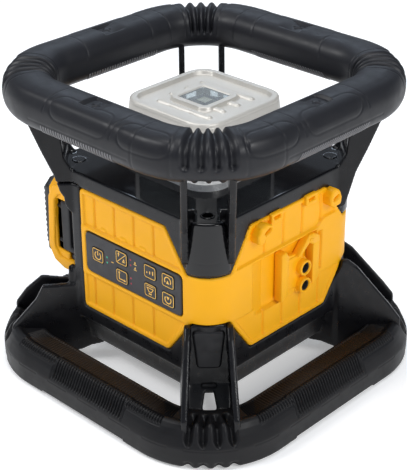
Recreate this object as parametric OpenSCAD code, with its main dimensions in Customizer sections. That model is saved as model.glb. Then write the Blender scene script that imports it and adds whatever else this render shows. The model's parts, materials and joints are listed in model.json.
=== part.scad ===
// Rotating laser level with a bumper cage, a slide-on battery and a self-levelling head.
// Millimetres. Z up, origin on the ground under the head, keypad towards -Y, battery towards -X.

/* [Bumper cage] */
// Outer width of the bottom bumper ring
base_w = 254; // [252:1:258]
// Outer width of the top bumper ring
top_w = 236; // [234:1:238]
// Overall height
total_h = 230; // [229:0.5:232]
// Height of the top bumper's rounded section
top_section_h = 31.8; // [31:0.2:33]
// Width of the top bumper's rounded section
top_section_w = 36; // [35:0.5:37]
// Thickness of each post fin
fin_t = 4.5; // [4:0.25:5]
// Distance from a corner's diagonal to the outside of its fins
fin_out = 17.5; // [17:0.25:18]

/* [Body] */
// Half width of the body
body_half = 78; // [77.5:0.25:78.5]
// Corner radius of the body
body_r = 23; // [22:0.5:24]
// Wall thickness of the body shells
wall = 3; // [2.5:0.25:3.25]
// Height of the upper deck above the ground
deck_z = 157; // [156.5:0.25:157.5]

/* [Head] */
// Half width of the aluminium head cap
cap_half = 41; // [40:0.5:42]
// Height of the cap's top face above the ground
cap_z = 204.7; // [204:0.1:205]
// Height of the gimbal centre above the ground
gimbal_z = 140; // [139.5:0.25:140.5]

/* [Battery] */
// Length of the battery pack along its slide
pack_l = 114; // [110:1:115]
// Width of the battery pack
pack_w = 71; // [69:0.5:71.5]
// Height of the battery pack from its base to its rails
pack_h = 44.5; // [43:0.5:46]

/* [Hidden] */
$fn = 48;

gap = 0.3;                       // joint line between neighbouring shells
running = 0.05;                  // radial clearance of pins and shafts

// Bumper rings
top_half = (top_w - top_section_w) / 2;
top_r = 51;
top_mid_z = total_h - top_section_h / 2;
core_w = 16;
core_h = 10;
base_half = base_w / 2;
base_r = 68;
foot_h = 1.5;
base_core_x = -14;               // middle of the base core, inward of the outer face
base_core_z = 14;

// Corner posts, in the vertical plane through a corner's diagonal
fin_mid = fin_out - fin_t / 2;
seam_z = 147;                    // joint line of the strip beside the battery bay

// Yellow shell: full height at the middle of a face, waist towards the posts
yellow_z0 = 51.5;
yellow_z1 = 146;
waist_z0 = 81;
waist_z1 = 116.5;

// Battery bay and pack
pack_top_x = -57;                // top of the pack's tower
shoulder_x = -62.3;              // top of the pack's case
pack_x = pack_top_x - pack_h;
pack_y = -70;
pack_z = 102;
dock_x = -56;
dock_t = 3;
bay_x = -61.8;
bay_end_y = pack_y + pack_l + 2.5;
bay_half_z = pack_w / 2 + 1;
tower_half = 19;
throat_half = 23;
post_top_z = 65;
band_x = -90;                    // where the coloured band of the pack starts
lid_x = -70;                     // where its lid starts

// Keypad
key_plane = -body_half;
overlay_t = 0.9;
key_clear = 0.3;
key_w = 11;
key_h = 10;

// Head and gimbal
head_half = 37;
pillar_w = 7;
base_flange_half = 44;
base_flange_h = 5;
skirt_h = 11.5;
window_half = 12.5;
head_frame_half = 17;
barrel_r = 16;
ring_in = 24;
ring_out = 30;
pin_r = 2;
arm_reach = 58;
x_arm_z = 120;
screw_r = 2;
nut_r = 7;
nut_neck_r = 3.5;
nut_h = 9;
nut_neck_h = 5;
chassis_z = 88;
chassis_t = 3;
stepper_h = 16;
rotor_pulley_r = 12;
motor_pulley_r = 4;
motor_x = 24;
motor_z = 148;
motor_h = 11.9;
motor_bore = 2;
belt_z = 168.5;
belt_h = 3;

// Tripod threads, 5/8 inch
tripod_r = 6.75;
insert_r = 11;
hub_z = 12;
floor_z = 27;
side_hub_z = 98;
side_insert_l = 10;

// Upper and lower fin outlines: distance from the centre line and height
upper_fin = [
    [88.5, 133], [94.7, 126], [98.2, 126], [101, 136], [105, 152], [113, 171], [121.5, 193],
    [126, 204], [124, 212], [112, 212], [104, 206], [99.5, 190], [98.5, 178],
    [97.5, 166], [93, 158], [88.5, 155]
];
upper_fin_strip = [
    [88.5, seam_z + gap], [103.8, seam_z + gap], [105, 152], [113, 171], [121.5, 193],
    [126, 204], [124, 212], [112, 212], [104, 206], [99.5, 190], [98.5, 178],
    [97.5, 166], [93, 158], [88.5, 155]
];
lower_fin = [
    [88.5, 60.5], [92.8, 66.5], [95.1, 71.8], [97.6, 77], [98.1, 81], [102.8, 81],
    [110.2, 75], [120.8, 61.7], [135, 44.1], [143, 33], [143, 12], [130, 8], [108, 7],
    [93, 9], [85, 13], [76, 15], [70, 27.5], [88.5, 30]
];
lower_fin_cut = [
    [88.5, 54], [108.7, 53.4], [122.7, 55], [135, 44.1], [143, 33], [143, 12], [130, 8],
    [108, 7], [93, 9], [85, 13], [76, 15], [70, 27.5], [88.5, 30]
];
strip_fin = [
    [84, seam_z], [103.7, seam_z], [101.5, 139.5], [99, 136], [98.5, 130], [96, 125.5],
    [92, 122], [92, 86], [93, 70], [95, post_top_z + 0.5], [118.6, post_top_z - 1],
    [124.4, 52.4], [143, 30], [143, 12], [130, 8], [108, 7], [93, 9], [85, 13],
    [76, 15], [70, 27.5], [84, 30]
];

// ---------- shared shapes ----------

// Sweeps a section round a rounded square; the section's x is the distance outwards.
module square_sweep(half, r) {
    straight = half - r;
    for (k = [0:3]) rotate([0, 0, 90 * k]) {
        rotate([90, 0, 0])
            linear_extrude(2 * straight, center = true)
                translate([half, 0]) children();
        translate([straight, straight, 0])
            rotate_extrude(angle = 90)
                translate([r, 0]) children();
    }
}

module rounded_square(half, r) {
    square([2 * half, 2 * (half - r)], center = true);
    square([2 * (half - r), 2 * half], center = true);
    for (x = [-1, 1], y = [-1, 1])
        translate([x * (half - r), y * (half - r)]) circle(r);
}

module shell(half, r, t, z0, z1) {
    translate([0, 0, z0])
        linear_extrude(z1 - z0)
            difference() {
                rounded_square(half, r);
                rounded_square(half - t, r - t);
            }
}

module at_corner(k) {
    rotate([0, 0, 45 + 90 * k]) children();
}

// A flat plate standing in the diagonal plane, at a given distance to its side.
module fin(outline, side, t = fin_t) {
    translate([0, side * fin_mid + t / 2, 0])
        rotate([90, 0, 0])
            linear_extrude(t) polygon(outline);
}

function super_ellipse(a, b, n) = [
    for (t = [7.5:15:359])
        [a * sign(cos(t)) * pow(abs(cos(t)), 2 / n),
         b * sign(sin(t)) * pow(abs(sin(t)), 2 / n)]
];

// Box between two corners
module block(low, high) {
    translate(low) cube(high - low);
}

// ---------- outline of the yellow faces ----------

// The keypad face and the one behind it: x across, z up, grown by e.
function long_face(e) = [
    [-46 - e, yellow_z0 - e], [39.5 + 0.6 * e, yellow_z0 - e], [61 + 0.6 * e, waist_z0 - e],
    [200, waist_z0 - e],
    [200, waist_z1 + e], [57.5 + 0.6 * e, waist_z1 + e], [38 + 0.6 * e, yellow_z1 + e],
    [-46 - e, yellow_z1 + e]
];

// The accessory face: y across, z up, grown by e.
function end_face(e) = [
    [-37 - 0.6 * e, yellow_z0 - e], [42 + 0.6 * e, yellow_z0 - e],
    [62 + 0.6 * e, waist_z0 - e], [200, waist_z0 - e], [200, waist_z1 + e],
    [60 + 0.6 * e, waist_z1 + e], [40 + 0.6 * e, yellow_z1 + e],
    [-38 - 0.6 * e, yellow_z1 + e], [-56 - 0.6 * e, waist_z1 + e],
    [-200, waist_z1 + e], [-200, waist_z0 - e], [-58 - 0.6 * e, waist_z0 - e]
];

module yellow_prism(e) {
    near = body_half - body_r;
    for (s = [-1, 1])
        translate([0, s * (near + 40), 0])
            rotate([90, 0, 0])
                linear_extrude(80, center = true) polygon(long_face(e));
    translate([near, 0, 0])
        rotate([90, 0, 90])
            linear_extrude(80) polygon(end_face(e));
}

// Space that the battery pack sweeps on its way out
module bay_space() {
    block([-200, -200, pack_z - bay_half_z], [bay_x, bay_end_y, pack_z + bay_half_z]);
    block([-200, -200, pack_z - throat_half], [dock_x, bay_end_y, pack_z + throat_half]);
}

// ---------- bumpers ----------

module top_core(extra = 0) {
    translate([0, 0, top_mid_z])
        square_sweep(top_half, top_r)
            square([core_w + 2 * extra, core_h + 2 * extra], center = true);
}

module base_core(extra = 0) {
    translate([0, 0, base_core_z])
        square_sweep(base_half, base_r)
            translate([base_core_x, 0])
                square([core_w + 2 * extra, core_h + 2 * extra], center = true);
}

module top_bumper() {
    color([0.16, 0.16, 0.18])
    difference() {
        translate([0, 0, top_mid_z])
            square_sweep(top_half, top_r)
                polygon(super_ellipse(top_section_w / 2, top_section_h / 2, 2.5));
        top_core(0.1);
        for (k = [0:3], s = [-1, 1]) at_corner(k) fin(upper_fin, s, fin_t + 0.2);
    }
}

module base_section(foot) {
    polygon([
        [-2, foot], [0, foot + 2], [0, 17], [-2, 19.5], [-8, 30], [-10, 31.4],
        [-12, 31], [-13.5, 29], [-28, 29], [-29.5, 27.5], [-29.5, 24], [-27, 21],
        [-25.5, foot]
    ]);
}

module bottom_bumper() {
    straight = base_half - base_r;
    color([0.15, 0.15, 0.17])
    difference() {
        for (k = [0:3]) rotate([0, 0, 90 * k]) {
            rotate([90, 0, 0])
                linear_extrude(2 * straight, center = true)
                    translate([base_half, 0]) base_section(foot_h);
            translate([straight, straight, 0])
                rotate_extrude(angle = 90)
                    translate([base_r, 0]) base_section(0);
        }
        base_core(0.1);
        for (k = [0:3], s = [-1, 1]) at_corner(k)
            fin(lower_fin, s, fin_t + 0.2);
        for (k = [0:3]) at_corner(k) post_web(0.1);
    }
}

// ---------- housings ----------

module corner_skirt(z0, z1) {
    difference() {
        shell(body_half, body_r, wall, z0, z1);
        yellow_prism(gap);
        bay_space();
    }
}

// The strip of the body beside the bay belongs to the base up to its joint line.
module strip_zone(top) {
    block([-90, -90, 0], [-46.3, -45, top]);
}

module top_housing() {
    color([0.12, 0.12, 0.13])
    difference() {
        union() {
            difference() {
                corner_skirt(100, deck_z);
                strip_zone(seam_z + gap);
            }
            translate([0, 0, deck_z - wall])
                linear_extrude(wall) rounded_square(body_half - 1, body_r - 1);
            for (k = [0:3]) at_corner(k) {
                for (s = [-1, 1]) fin(k == 2 ? upper_fin_strip : upper_fin, s);
                translate([88.5, 0, deck_z - 14]) cylinder(r = 7, h = 12);
            }
            // upstands between the fins at the side corners
            for (k = [0, 2]) at_corner(k)
                rotate([90, 0, 0])
                    linear_extrude(28, center = true)
                        polygon([[95.5, 155], [98.5, 155], [99.5, 164], [97, 164]]);
            top_core();
        }
        translate([0, 0, deck_z - 2 * wall]) cylinder(r = 38, h = 4 * wall);
        for (k = [0:3]) at_corner(k) {
            translate([88.5, 0, deck_z - 10]) cylinder(r = 4, h = 20);
            translate([88.5, 0, deck_z - 20]) cylinder(r = 2.2, h = 40);
        }
    }
}

// Lower web between two fins, with the drain opening in it
module post_web(extra = 0) {
    difference() {
        translate([0, fin_mid + extra, 0])
            rotate([90, 0, 0])
                linear_extrude(2 * (fin_mid + extra))
                    polygon([
                        [92, 66], [95, 71.5], [97.6, 76.5], [99.2, 79], [99.6, 60], [104, 36],
                        [118, 25], [134, 25], [134, 21], [116, 21], [100, 33], [92, 56]
                    ]);
        translate([95, 0, 0])
            rotate([90, 0, 90])
                linear_extrude(22.5)
                    polygon([[-6.4, 14], [6.4, 14], [2.2, 33], [-2.2, 33]]);
    }
}

module base_housing() {
    color([0.12, 0.12, 0.13])
    difference() {
        union() {
            corner_skirt(40, 100 - gap);
            intersection() {
                corner_skirt(40, seam_z);
                strip_zone(seam_z);
            }
            // flared foot of the body
            square_sweep(body_half, body_r)
                polygon([
                    [0, 48 - gap], [0, 44], [-2.5, 40], [-4, 34], [-5, 27], [-6, 22],
                    [-9, 22], [-9, 27], [-13, 27], [-13, 31], [-9.5, 31], [-8, 42],
                    [-wall, 46], [-wall, 48 - gap]
                ]);
            translate([0, 0, floor_z])
                linear_extrude(wall) rounded_square(body_half - 11, body_r - 11);
            translate([0, 0, hub_z]) cylinder(r = 30, h = 24);
            for (k = [0, 1, 3], s = [-1, 1]) at_corner(k) fin(lower_fin, s);
            at_corner(2) fin(strip_fin, 1);
            at_corner(2) fin(lower_fin_cut, -1);
            for (k = [0:3]) at_corner(k) {
                post_web();
                translate([88.5, 0, 40]) cylinder(r = 6, h = 24);
            }
            base_core();
        }
        bay_space();
        translate([0, 0, hub_z - 1]) cylinder(r = insert_r, h = 20);
        for (k = [0:3]) at_corner(k)
            translate([88.5, 0, 50]) cylinder(r = 1.9, h = 40);
        for (a = [0:3]) at_corner(a)
            translate([50, 0, floor_z - 2]) cylinder(r = 1.8, h = 12);
    }
}

module main_housing() {
    color([0.96, 0.70, 0.10])
    difference() {
        intersection() {
            shell(body_half, body_r, wall, yellow_z0, yellow_z1);
            difference() {
                yellow_prism(0);
                block([-200, -200, 0], [-46, 200, 300]);
            }
        }
        // shallow panels above and below the keypad band and grooves between panels
        for (s = [-1, 1]) {
            block([-40, s * (body_half + 0.2) - 1, 119], [36, s * (body_half + 0.2) + 1, 143]);
            block([-40, s * (body_half + 0.2) - 1, 55], [38, s * (body_half + 0.2) + 1, 79]);
        }
        // keypad cut-out
        block([-35, -90, 86], [48.5, -60, 113]);
        // opening behind the accessory plate
        block([70, -20, 70], [90, 38, 118]);
        // rear tripod boss opening
        translate([0, 90, side_hub_z]) rotate([90, 0, 0]) cylinder(r = 14, h = 30);
    }
}

module battery_dock() {
    floor_low = pack_z - bay_half_z;
    color([0.13, 0.13, 0.14])
    difference() {
        union() {
            block([dock_x, -71.2, floor_low], [dock_x + dock_t, bay_end_y, pack_z + bay_half_z]);
            // back stop
            block([-74.8, bay_end_y, floor_low], [dock_x + dock_t, bay_end_y + 3,
                  pack_z + bay_half_z]);
            for (s = [-1, 1]) {
                // shoulders either side of the throat
                block([bay_x, -54, pack_z + s * (throat_half + 7) - 7],
                      [dock_x, bay_end_y, pack_z + s * (throat_half + 7) + 7]);
                // lips that hook into the pack's side grooves
                block([bay_x + 0.2, -54, pack_z + s * (throat_half - 2.4) - 2.4],
                      [bay_x + 2.2, 36, pack_z + s * (throat_half - 2.4) + 2.4]);
                // roof and floor flanges
                block([-75, -50, pack_z + s * (bay_half_z + 1) - 1],
                      [dock_x + dock_t, bay_end_y + 3, pack_z + s * (bay_half_z + 1) + 1]);
            }
            // catch for the pack's latch
            block([dock_x - 0.6, -60, pack_z - 8], [dock_x, -56, pack_z + 8]);
            // screw boss over the front of the bay
            translate([-62.6, -62.6, pack_z + bay_half_z + 0.3]) cylinder(r = 6, h = 3.6);
            block([-68, -62, pack_z + bay_half_z], [-57, -45, pack_z + bay_half_z + 2]);
        }
        // window for the terminal block
        block([dock_x - 7, 8, pack_z - 15], [dock_x + dock_t + 1, 32, pack_z + 15]);
        translate([-62.6, -62.6, 130]) cylinder(r = 1.9, h = 20);
    }
}

module terminal_block() {
    color([0.55, 0.12, 0.10])
    union() {
        block([dock_x + 0.1, 8.3, pack_z - 14.7], [dock_x + 7, 31.7, pack_z + 14.7]);
        for (i = [-2:2])
            block([dock_x - 5, 10, pack_z + i * 5.5 - 0.4],
                  [dock_x + 0.2, 20, pack_z + i * 5.5 + 0.4]);
    }
}

// ---------- keypad ----------

// Middle of each key on the keypad face: x, z
power_at = [-28, 99.8];
slope_at = [-3.8, 106.6];
axis_at = [-3.8, 92.2];
speed_at = [24.3, 106.6];
scan_at = [24.3, 92.2];
cw_at = [41.4, 106.6];
ccw_at = [41.4, 92.2];
KEYS = [power_at, slope_at, axis_at, speed_at, scan_at, cw_at, ccw_at];

module key_hole(at, extra, y0, y1) {
    block([at[0] - key_w / 2 - extra, y0, at[1] - key_h / 2 - extra],
          [at[0] + key_w / 2 + extra, y1, at[1] + key_h / 2 + extra]);
}

module keypad_overlay() {
    color([0.20, 0.20, 0.22])
    difference() {
        block([-40.7, key_plane - overlay_t, 83.5], [53.5, key_plane, 114.5]);
        for (at = KEYS) key_hole(at, key_clear, key_plane - 2, key_plane + 1);
        for (p = LEDS)
            translate([p[0], key_plane + 1, p[1]])
                rotate([90, 0, 0]) cylinder(r = 0.9, h = 3);
    }
}

LEDS = [[-18.9, 101.6], [-18.9, 97.4], [5, 108.7], [5, 104.5], [5, 94.2], [5, 90]];

// A key stands a little proud of the overlay and sinks when it is pressed.
module key(at) {
    color([0.22, 0.22, 0.24])
    union() {
        key_hole(at, 0, key_plane - overlay_t - 0.5, key_plane + 0.2);
        block([at[0] - 2.5, key_plane + 0.2, at[1] - 2.5],
              [at[0] + 2.5, key_plane + 3.2, at[1] + 2.5]);
    }
}

module keypad_board() {
    color([0.05, 0.35, 0.15])
    union() {
        block([-37, key_plane + 5.4, 84], [50, key_plane + 7, 114]);
        for (at = KEYS)
            translate([at[0], key_plane + 5.4, at[1]])
                rotate([90, 0, 0]) cylinder(r = 2, h = 1.5);
    }
}

module status_leds() {
    color([0.5, 0.8, 0.6])
    for (p = LEDS)
        translate([p[0], key_plane + 5.4, p[1]])
            rotate([90, 0, 0]) cylinder(r = 0.8, h = 6.2);
}

// ---------- accessory face ----------

accessory_at = [[14.7, 93.9], [14.7, 79.9]];

module accessory_plate() {
    color([0.96, 0.70, 0.10])
    difference() {
        union() {
            block([body_half - 6, -24, 66], [body_half - 3, 42, 122]);
            // plate with a raised rail on the left and a pillar on the right
            block([body_half - 4, -4, 73], [body_half + 0.5, 31, 104]);
            block([body_half - 4, -9, 75], [body_half + 4, -3, 113]);
            block([body_half - 4, 21, 76], [body_half + 3.4, 31, 113]);
            for (p = accessory_at)
                translate([body_half - 4, p[0], p[1]])
                    rotate([0, 90, 0]) cylinder(r = 5.8, h = 9.5);
        }
        for (p = accessory_at)
            translate([body_half - 7, p[0], p[1]])
                rotate([0, 90, 0]) cylinder(r = 4, h = 14);
    }
}

module accessory_inserts() {
    color([0.45, 0.40, 0.30])
    for (p = accessory_at)
        translate([body_half - 5, p[0], p[1]])
            rotate([0, 90, 0])
                difference() {
                    cylinder(r = 4, h = 10);
                    translate([0, 0, -1]) cylinder(r = 2.5, h = 12);
                }
}

// ---------- head ----------

module head_base() {
    color([0.78, 0.77, 0.74])
    difference() {
        union() {
            translate([0, 0, deck_z])
                linear_extrude(base_flange_h) rounded_square(base_flange_half, 19);
            translate([0, 0, deck_z + base_flange_h])
                linear_extrude(4) rounded_square(head_half + 1, 11);
            intersection() {
                translate([0, 0, deck_z + base_flange_h + 4])
                    linear_extrude(cap_z - deck_z - base_flange_h - 8)
                        difference() {
                            rounded_square(head_half + 1, 11);
                            rounded_square(head_half - 2, 8);
                        }
                for (k = [0:3]) rotate([0, 0, 90 * k])
                    block([head_half - pillar_w - 2, head_half - pillar_w - 2, 100],
                          [60, 60, 220]);
            }
        }
        translate([0, 0, deck_z - 1]) cylinder(r = 36, h = 12);
    }
}

module head_windows() {
    color([0.75, 0.85, 0.85, 0.4])
    for (k = [0:3]) rotate([0, 0, 90 * k])
        block([head_half - 1.8, -head_half + pillar_w + 2.2, deck_z + base_flange_h + 4.1],
              [head_half + 0.8, head_half - pillar_w - 2.2, cap_z - 5]);
}

module head_cap() {
    color([0.82, 0.81, 0.78])
    difference() {
        union() {
            translate([0, 0, cap_z - 3.2])
                linear_extrude(3.2) rounded_square(cap_half, 14);
            translate([0, 0, cap_z - skirt_h])
                linear_extrude(skirt_h - 3.2) rounded_square(cap_half + 1, 15);
        }
        // hollow underside
        translate([0, 0, cap_z - skirt_h - 1])
            linear_extrude(skirt_h - 4 + 1) rounded_square(cap_half - 2.6, 11.6);
        // sunken floor inside the rim
        difference() {
            translate([0, 0, cap_z - 2])
                linear_extrude(3) rounded_square(cap_half - 6.5, 8.5);
            translate([0, 0, cap_z - 3])
                linear_extrude(5) rounded_square(head_frame_half, 4);
        }
        translate([0, 0, cap_z - 20])
            linear_extrude(30) square(2 * window_half, center = true);
    }
}

module top_window() {
    color([0.75, 0.85, 0.88, 0.4])
    translate([0, 0, cap_z - 2.6])
        linear_extrude(1.6) square(2 * window_half - 0.2, center = true);
}

module head_screws() {
    color([0.6, 0.6, 0.62])
    for (k = [0:3]) rotate([0, 0, 90 * k])
        translate([41.3, 0, deck_z + base_flange_h]) difference() {
            cylinder(r = 2.6, h = 1.6);
            translate([0, 0, 0.6]) cylinder(r = 1.3, h = 2, $fn = 6);
        }
}

// ---------- gimbal, barrel and rotor ----------

module gimbal_frame() {
    color([0.35, 0.36, 0.38])
    difference() {
        union() {
            translate([0, 0, chassis_z])
                linear_extrude(chassis_t) {
                    square([96, 60], center = true);
                    square([60, 96], center = true);
                    translate([50, 0]) square([34, 24], center = true);
                    translate([0, 50]) square([24, 34], center = true);
                }
            for (k = [0:3]) at_corner(k)
                translate([50, 0, floor_z + 3]) cylinder(r = 4, h = chassis_z - floor_z - 3);
            for (k = [0:3]) at_corner(k)
                translate([50, 0, chassis_z]) cylinder(r = 6, h = chassis_t);
            // two arches that carry the outer pins
            for (s = [-1, 1]) {
                for (y = [-1, 1])
                    block([s * 36.5 - 2.5, y * 12 - 3, chassis_z],
                          [s * 36.5 + 2.5, y * 12 + 3, gimbal_z + 7]);
                block([s * 36.5 - 2.5, -15, gimbal_z - 7],
                      [s * 36.5 + 2.5, 15, gimbal_z + 7]);
            }
        }
        translate([0, 0, chassis_z - 1]) cylinder(r = 25, h = chassis_t + 2);
        translate([-50, 0, gimbal_z]) rotate([0, 90, 0]) cylinder(r = pin_r, h = 100);
        for (k = [0:3]) at_corner(k)
            translate([50, 0, floor_z + 2]) cylinder(r = 1.5, h = 14);
    }
}

module frame_pins() {
    color([0.7, 0.7, 0.72])
    for (s = [-1, 1])
        translate([s * 33, 0, gimbal_z])
            rotate([0, 90, 0]) cylinder(r = pin_r, h = 12, center = true);
}

// Fork that straddles the neck of a levelling nut
module fork(reach, start, w) {
    difference() {
        union() {
            block([start, -w / 2, -1.2], [reach - 8, w / 2, 1.2]);
            block([reach - 12, -10, -1.2], [reach + 8, 10, 1.2]);
        }
        block([reach - 6.5, -6.5, -2], [reach + 9, 6.5, 2]);
    }
}

module gimbal_ring() {
    color([0.62, 0.62, 0.60])
    difference() {
        union() {
            translate([0, 0, gimbal_z - 4]) cylinder(r = ring_out, h = 8);
            translate([0, 0, gimbal_z]) rotate([0, 0, 90]) fork(arm_reach, ring_out - 2, 8);
        }
        translate([0, 0, gimbal_z - 5]) cylinder(r = ring_in, h = 10);
        translate([-50, 0, gimbal_z])
            rotate([0, 90, 0]) cylinder(r = pin_r + running, h = 100);
        translate([0, ring_out + 0.5, gimbal_z])
            rotate([90, 0, 0]) cylinder(r = pin_r, h = 2 * ring_out + 1);
    }
}

module barrel_pins() {
    color([0.7, 0.7, 0.72])
    for (s = [-1, 1])
        translate([0, s * 23.5, gimbal_z])
            rotate([90, 0, 0]) cylinder(r = pin_r, h = 12, center = true);
}

module laser_barrel() {
    color([0.22, 0.23, 0.25])
    difference() {
        union() {
            translate([0, 0, 68]) cylinder(r = barrel_r, h = 97);
            translate([0, 0, gimbal_z - 7]) cylinder(r = 19, h = 14);
            translate([0, 0, x_arm_z]) fork(arm_reach, barrel_r - 2, 8);
            // motor bracket beside the bearing
            translate([0, 0, 160]) {
                block([barrel_r - 3, -8, 0], [motor_x, 8, 3]);
                translate([motor_x, 0, 0]) cylinder(r = 7.5, h = 3);
            }
        }
        translate([0, 0, 67]) cylinder(r = 9, h = 46);
        translate([0, 0, 112]) cylinder(r = 5, h = 60);
        translate([0, 0, 118]) cylinder(r = 8, h = 6);
        translate([0, 0, 158.5]) cylinder(r = 13, h = 10);
        translate([0, 0, 150]) cylinder(r = 9.5, h = 10);
        translate([0, 40, gimbal_z])
            rotate([90, 0, 0]) cylinder(r = pin_r + running, h = 80);
        translate([motor_x, 0, 155]) cylinder(r = 2.4, h = 10);
    }
}

module laser_module() {
    color([0.75, 0.62, 0.25])
    union() {
        translate([0, 0, 70]) cylinder(r = 8.95, h = 30);
        translate([0, 0, 100]) cylinder(r = 4.5, h = 6);
        translate([0, 0, 62]) cylinder(r = 6, h = 8);
    }
}

module collimator_lens() {
    color([0.7, 0.8, 0.9, 0.5])
    translate([0, 0, 119]) cylinder(r = 7.9, h = 4);
}

module level_vials() {
    color([0.6, 0.85, 0.5])
    for (a = [0, 90]) rotate([0, 0, a])
        translate([-9.5, -barrel_r - 2.45, 76]) rotate([90, 0, 90]) cylinder(r = 2.4, h = 19);
}

module race(inner, outer, z, h) {
    translate([0, 0, z]) difference() {
        cylinder(r = outer, h = h);
        translate([0, 0, -1]) cylinder(r = inner, h = h + 2);
    }
}

module bearing_outer_race() {
    color([0.72, 0.72, 0.74])
    union() {
        race(11, 12.95, 158.6, 6);
        for (i = [0:8]) rotate([0, 0, 40 * i])
            translate([10, 0, 161.6]) sphere(r = 0.93);
    }
}

module bearing_inner_race() {
    color([0.72, 0.72, 0.74])
    race(6.5, 9, 158.6, 6);
}

module rotor() {
    color([0.18, 0.18, 0.20])
    difference() {
        union() {
            translate([0, 0, 156]) cylinder(r = 6.5, h = 12);
            translate([0, 0, 171.5]) cylinder(r = 15, h = 3);
            translate([0, 0, 166]) cylinder(r = 9, h = 6);
            // cage round the prism
            translate([0, 0, 174]) cylinder(r = 15, h = 23);
        }
        translate([0, 0, 150]) cylinder(r = 4, h = 30);
        block([-9.2, -9.2, 176.5], [9.2, 20, 194.9]);
        translate([0, 0, 185.5]) rotate([90, 0, 0]) cylinder(r = 5, h = 40, center = true);
        translate([0, 0, 190]) cylinder(r = 6.5, h = 10);
    }
}

module pentaprism() {
    color([0.85, 0.9, 0.95, 0.6])
    translate([-9, 0, 0]) rotate([90, 0, 90])
        linear_extrude(18)
            polygon([[-9, 176.6], [9, 176.6], [9, 190], [0, 194.6], [-9, 190]]);
}

module rotor_pulley() {
    color([0.85, 0.85, 0.82])
    race(9, rotor_pulley_r, belt_z - 1.5, belt_h + 1);
}

module encoder_disc() {
    color([0.5, 0.5, 0.5])
    race(15, 17.5, 172, 1);
}

module drive_motor() {
    color([0.66, 0.66, 0.68])
    translate([motor_x, 0, motor_z]) difference() {
        cylinder(r = 7, h = motor_h);
        translate([0, 0, 4]) cylinder(r = motor_bore, h = motor_h);
    }
}

module motor_pulley() {
    color([0.85, 0.85, 0.82])
    translate([motor_x, 0, 0])
        union() {
            translate([0, 0, motor_z + 4 + gap])
                cylinder(r = motor_bore - running, h = belt_z - motor_z - 8);
            translate([0, 0, belt_z - 4]) cylinder(r = motor_pulley_r, h = belt_h + 3.5);
            translate([0, 0, belt_z + belt_h - 0.5]) cylinder(r = motor_pulley_r + 1, h = 1);
        }
}

module belt_path(extra) {
    hull() {
        circle(rotor_pulley_r + extra);
        translate([motor_x, 0]) circle(motor_pulley_r + extra);
    }
}

module drive_belt() {
    color([0.08, 0.08, 0.08])
    translate([0, 0, belt_z - 1])
        difference() {
            linear_extrude(belt_h - 1)
                difference() {
                    belt_path(1.1);
                    belt_path(0.15);
                }
        }
}

// ---------- levelling drive ----------

module on_x_screw() { translate([arm_reach, 0, 0]) children(); }
module on_y_screw() { translate([0, arm_reach, 0]) children(); }

module levelling_motors() {
    color([0.66, 0.66, 0.68]) {
        for (a = [0, 90]) rotate([0, 0, a])
            translate([arm_reach, 0, chassis_z + chassis_t]) difference() {
                cylinder(r = 8, h = stepper_h);
                translate([0, 0, 4]) cylinder(r = screw_r + running, h = stepper_h);
            }
    }
}

module lead_screw(top) {
    color([0.75, 0.75, 0.76])
    translate([0, 0, chassis_z + chassis_t])
        union() {
            translate([0, 0, 4 + gap]) cylinder(r = screw_r, h = top - chassis_z - chassis_t - 4);
            translate([0, 0, stepper_h + gap]) cylinder(r = 4, h = 2);
        }
}

module level_nut(z) {
    color([0.80, 0.66, 0.30])
    translate([0, 0, z - nut_h / 2])
        difference() {
            union() {
                cylinder(r = nut_neck_r, h = nut_h);
                for (h = [0, nut_h - (nut_h - nut_neck_h) / 2])
                    translate([0, 0, h]) cylinder(r = nut_r, h = (nut_h - nut_neck_h) / 2);
            }
            translate([0, 0, -1]) cylinder(r = screw_r + running, h = nut_h + 2);
        }
}

// ---------- boards, inserts and screws ----------

module main_board() {
    color([0.05, 0.30, 0.14])
    difference() {
        union() {
            block([-45, -45, 46], [45, 45, 47.6]);
            block([-30, -20, 47.6], [-10, 0, 50.6]);
            block([12, 8, 47.6], [26, 22, 49.6]);
            for (x = [-20, 20]) translate([x, 34, 47.6]) cylinder(r = 4, h = 9);
            for (x = [-40, 40], y = [-20, 20])
                translate([x, y, floor_z + 3]) cylinder(r = 3, h = 46 - floor_z - 3);
        }
        for (k = [0:3]) at_corner(k) translate([50, 0, 40]) cylinder(r = 4.6, h = 20);
    }
}

module beeper() {
    color([0.1, 0.1, 0.1])
    translate([20, -25, 47.6]) difference() {
        cylinder(r = 6, h = 6);
        translate([0, 0, 4]) cylinder(r = 1.2, h = 3);
    }
}

module tripod_insert() {
    color([0.80, 0.66, 0.35])
    translate([0, 0, hub_z]) difference() {
        cylinder(r = insert_r - 0.02, h = 18);
        translate([0, 0, -1]) cylinder(r = tripod_r, h = 20);
    }
}

module side_tripod_insert() {
    color([0.80, 0.66, 0.35])
    translate([0, body_half, side_hub_z])
        rotate([90, 0, 0]) difference() {
            union() {
                cylinder(r = 13.9, h = 3);
                cylinder(r = insert_r, h = side_insert_l);
                translate([0, 0, 3]) cylinder(r = 17, h = 2);
            }
            translate([0, 0, -1]) cylinder(r = tripod_r, h = 20);
        }
}

module housing_screws() {
    color([0.3, 0.3, 0.32])
    for (k = [0:3]) at_corner(k) {
        tip = k == 2 ? pack_z + bay_half_z + 1 : 52;
        translate([88.5, 0, 0]) difference() {
            union() {
                translate([0, 0, tip]) cylinder(r = 1.85, h = deck_z - 10 - tip + 0.1);
                translate([0, 0, deck_z - 9.9]) cylinder(r = 3.7, h = 3.4);
            }
            translate([0, 0, deck_z - 8]) cylinder(r = 1.9, h = 3, $fn = 6);
        }
    }
}

// ---------- battery pack ----------

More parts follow.
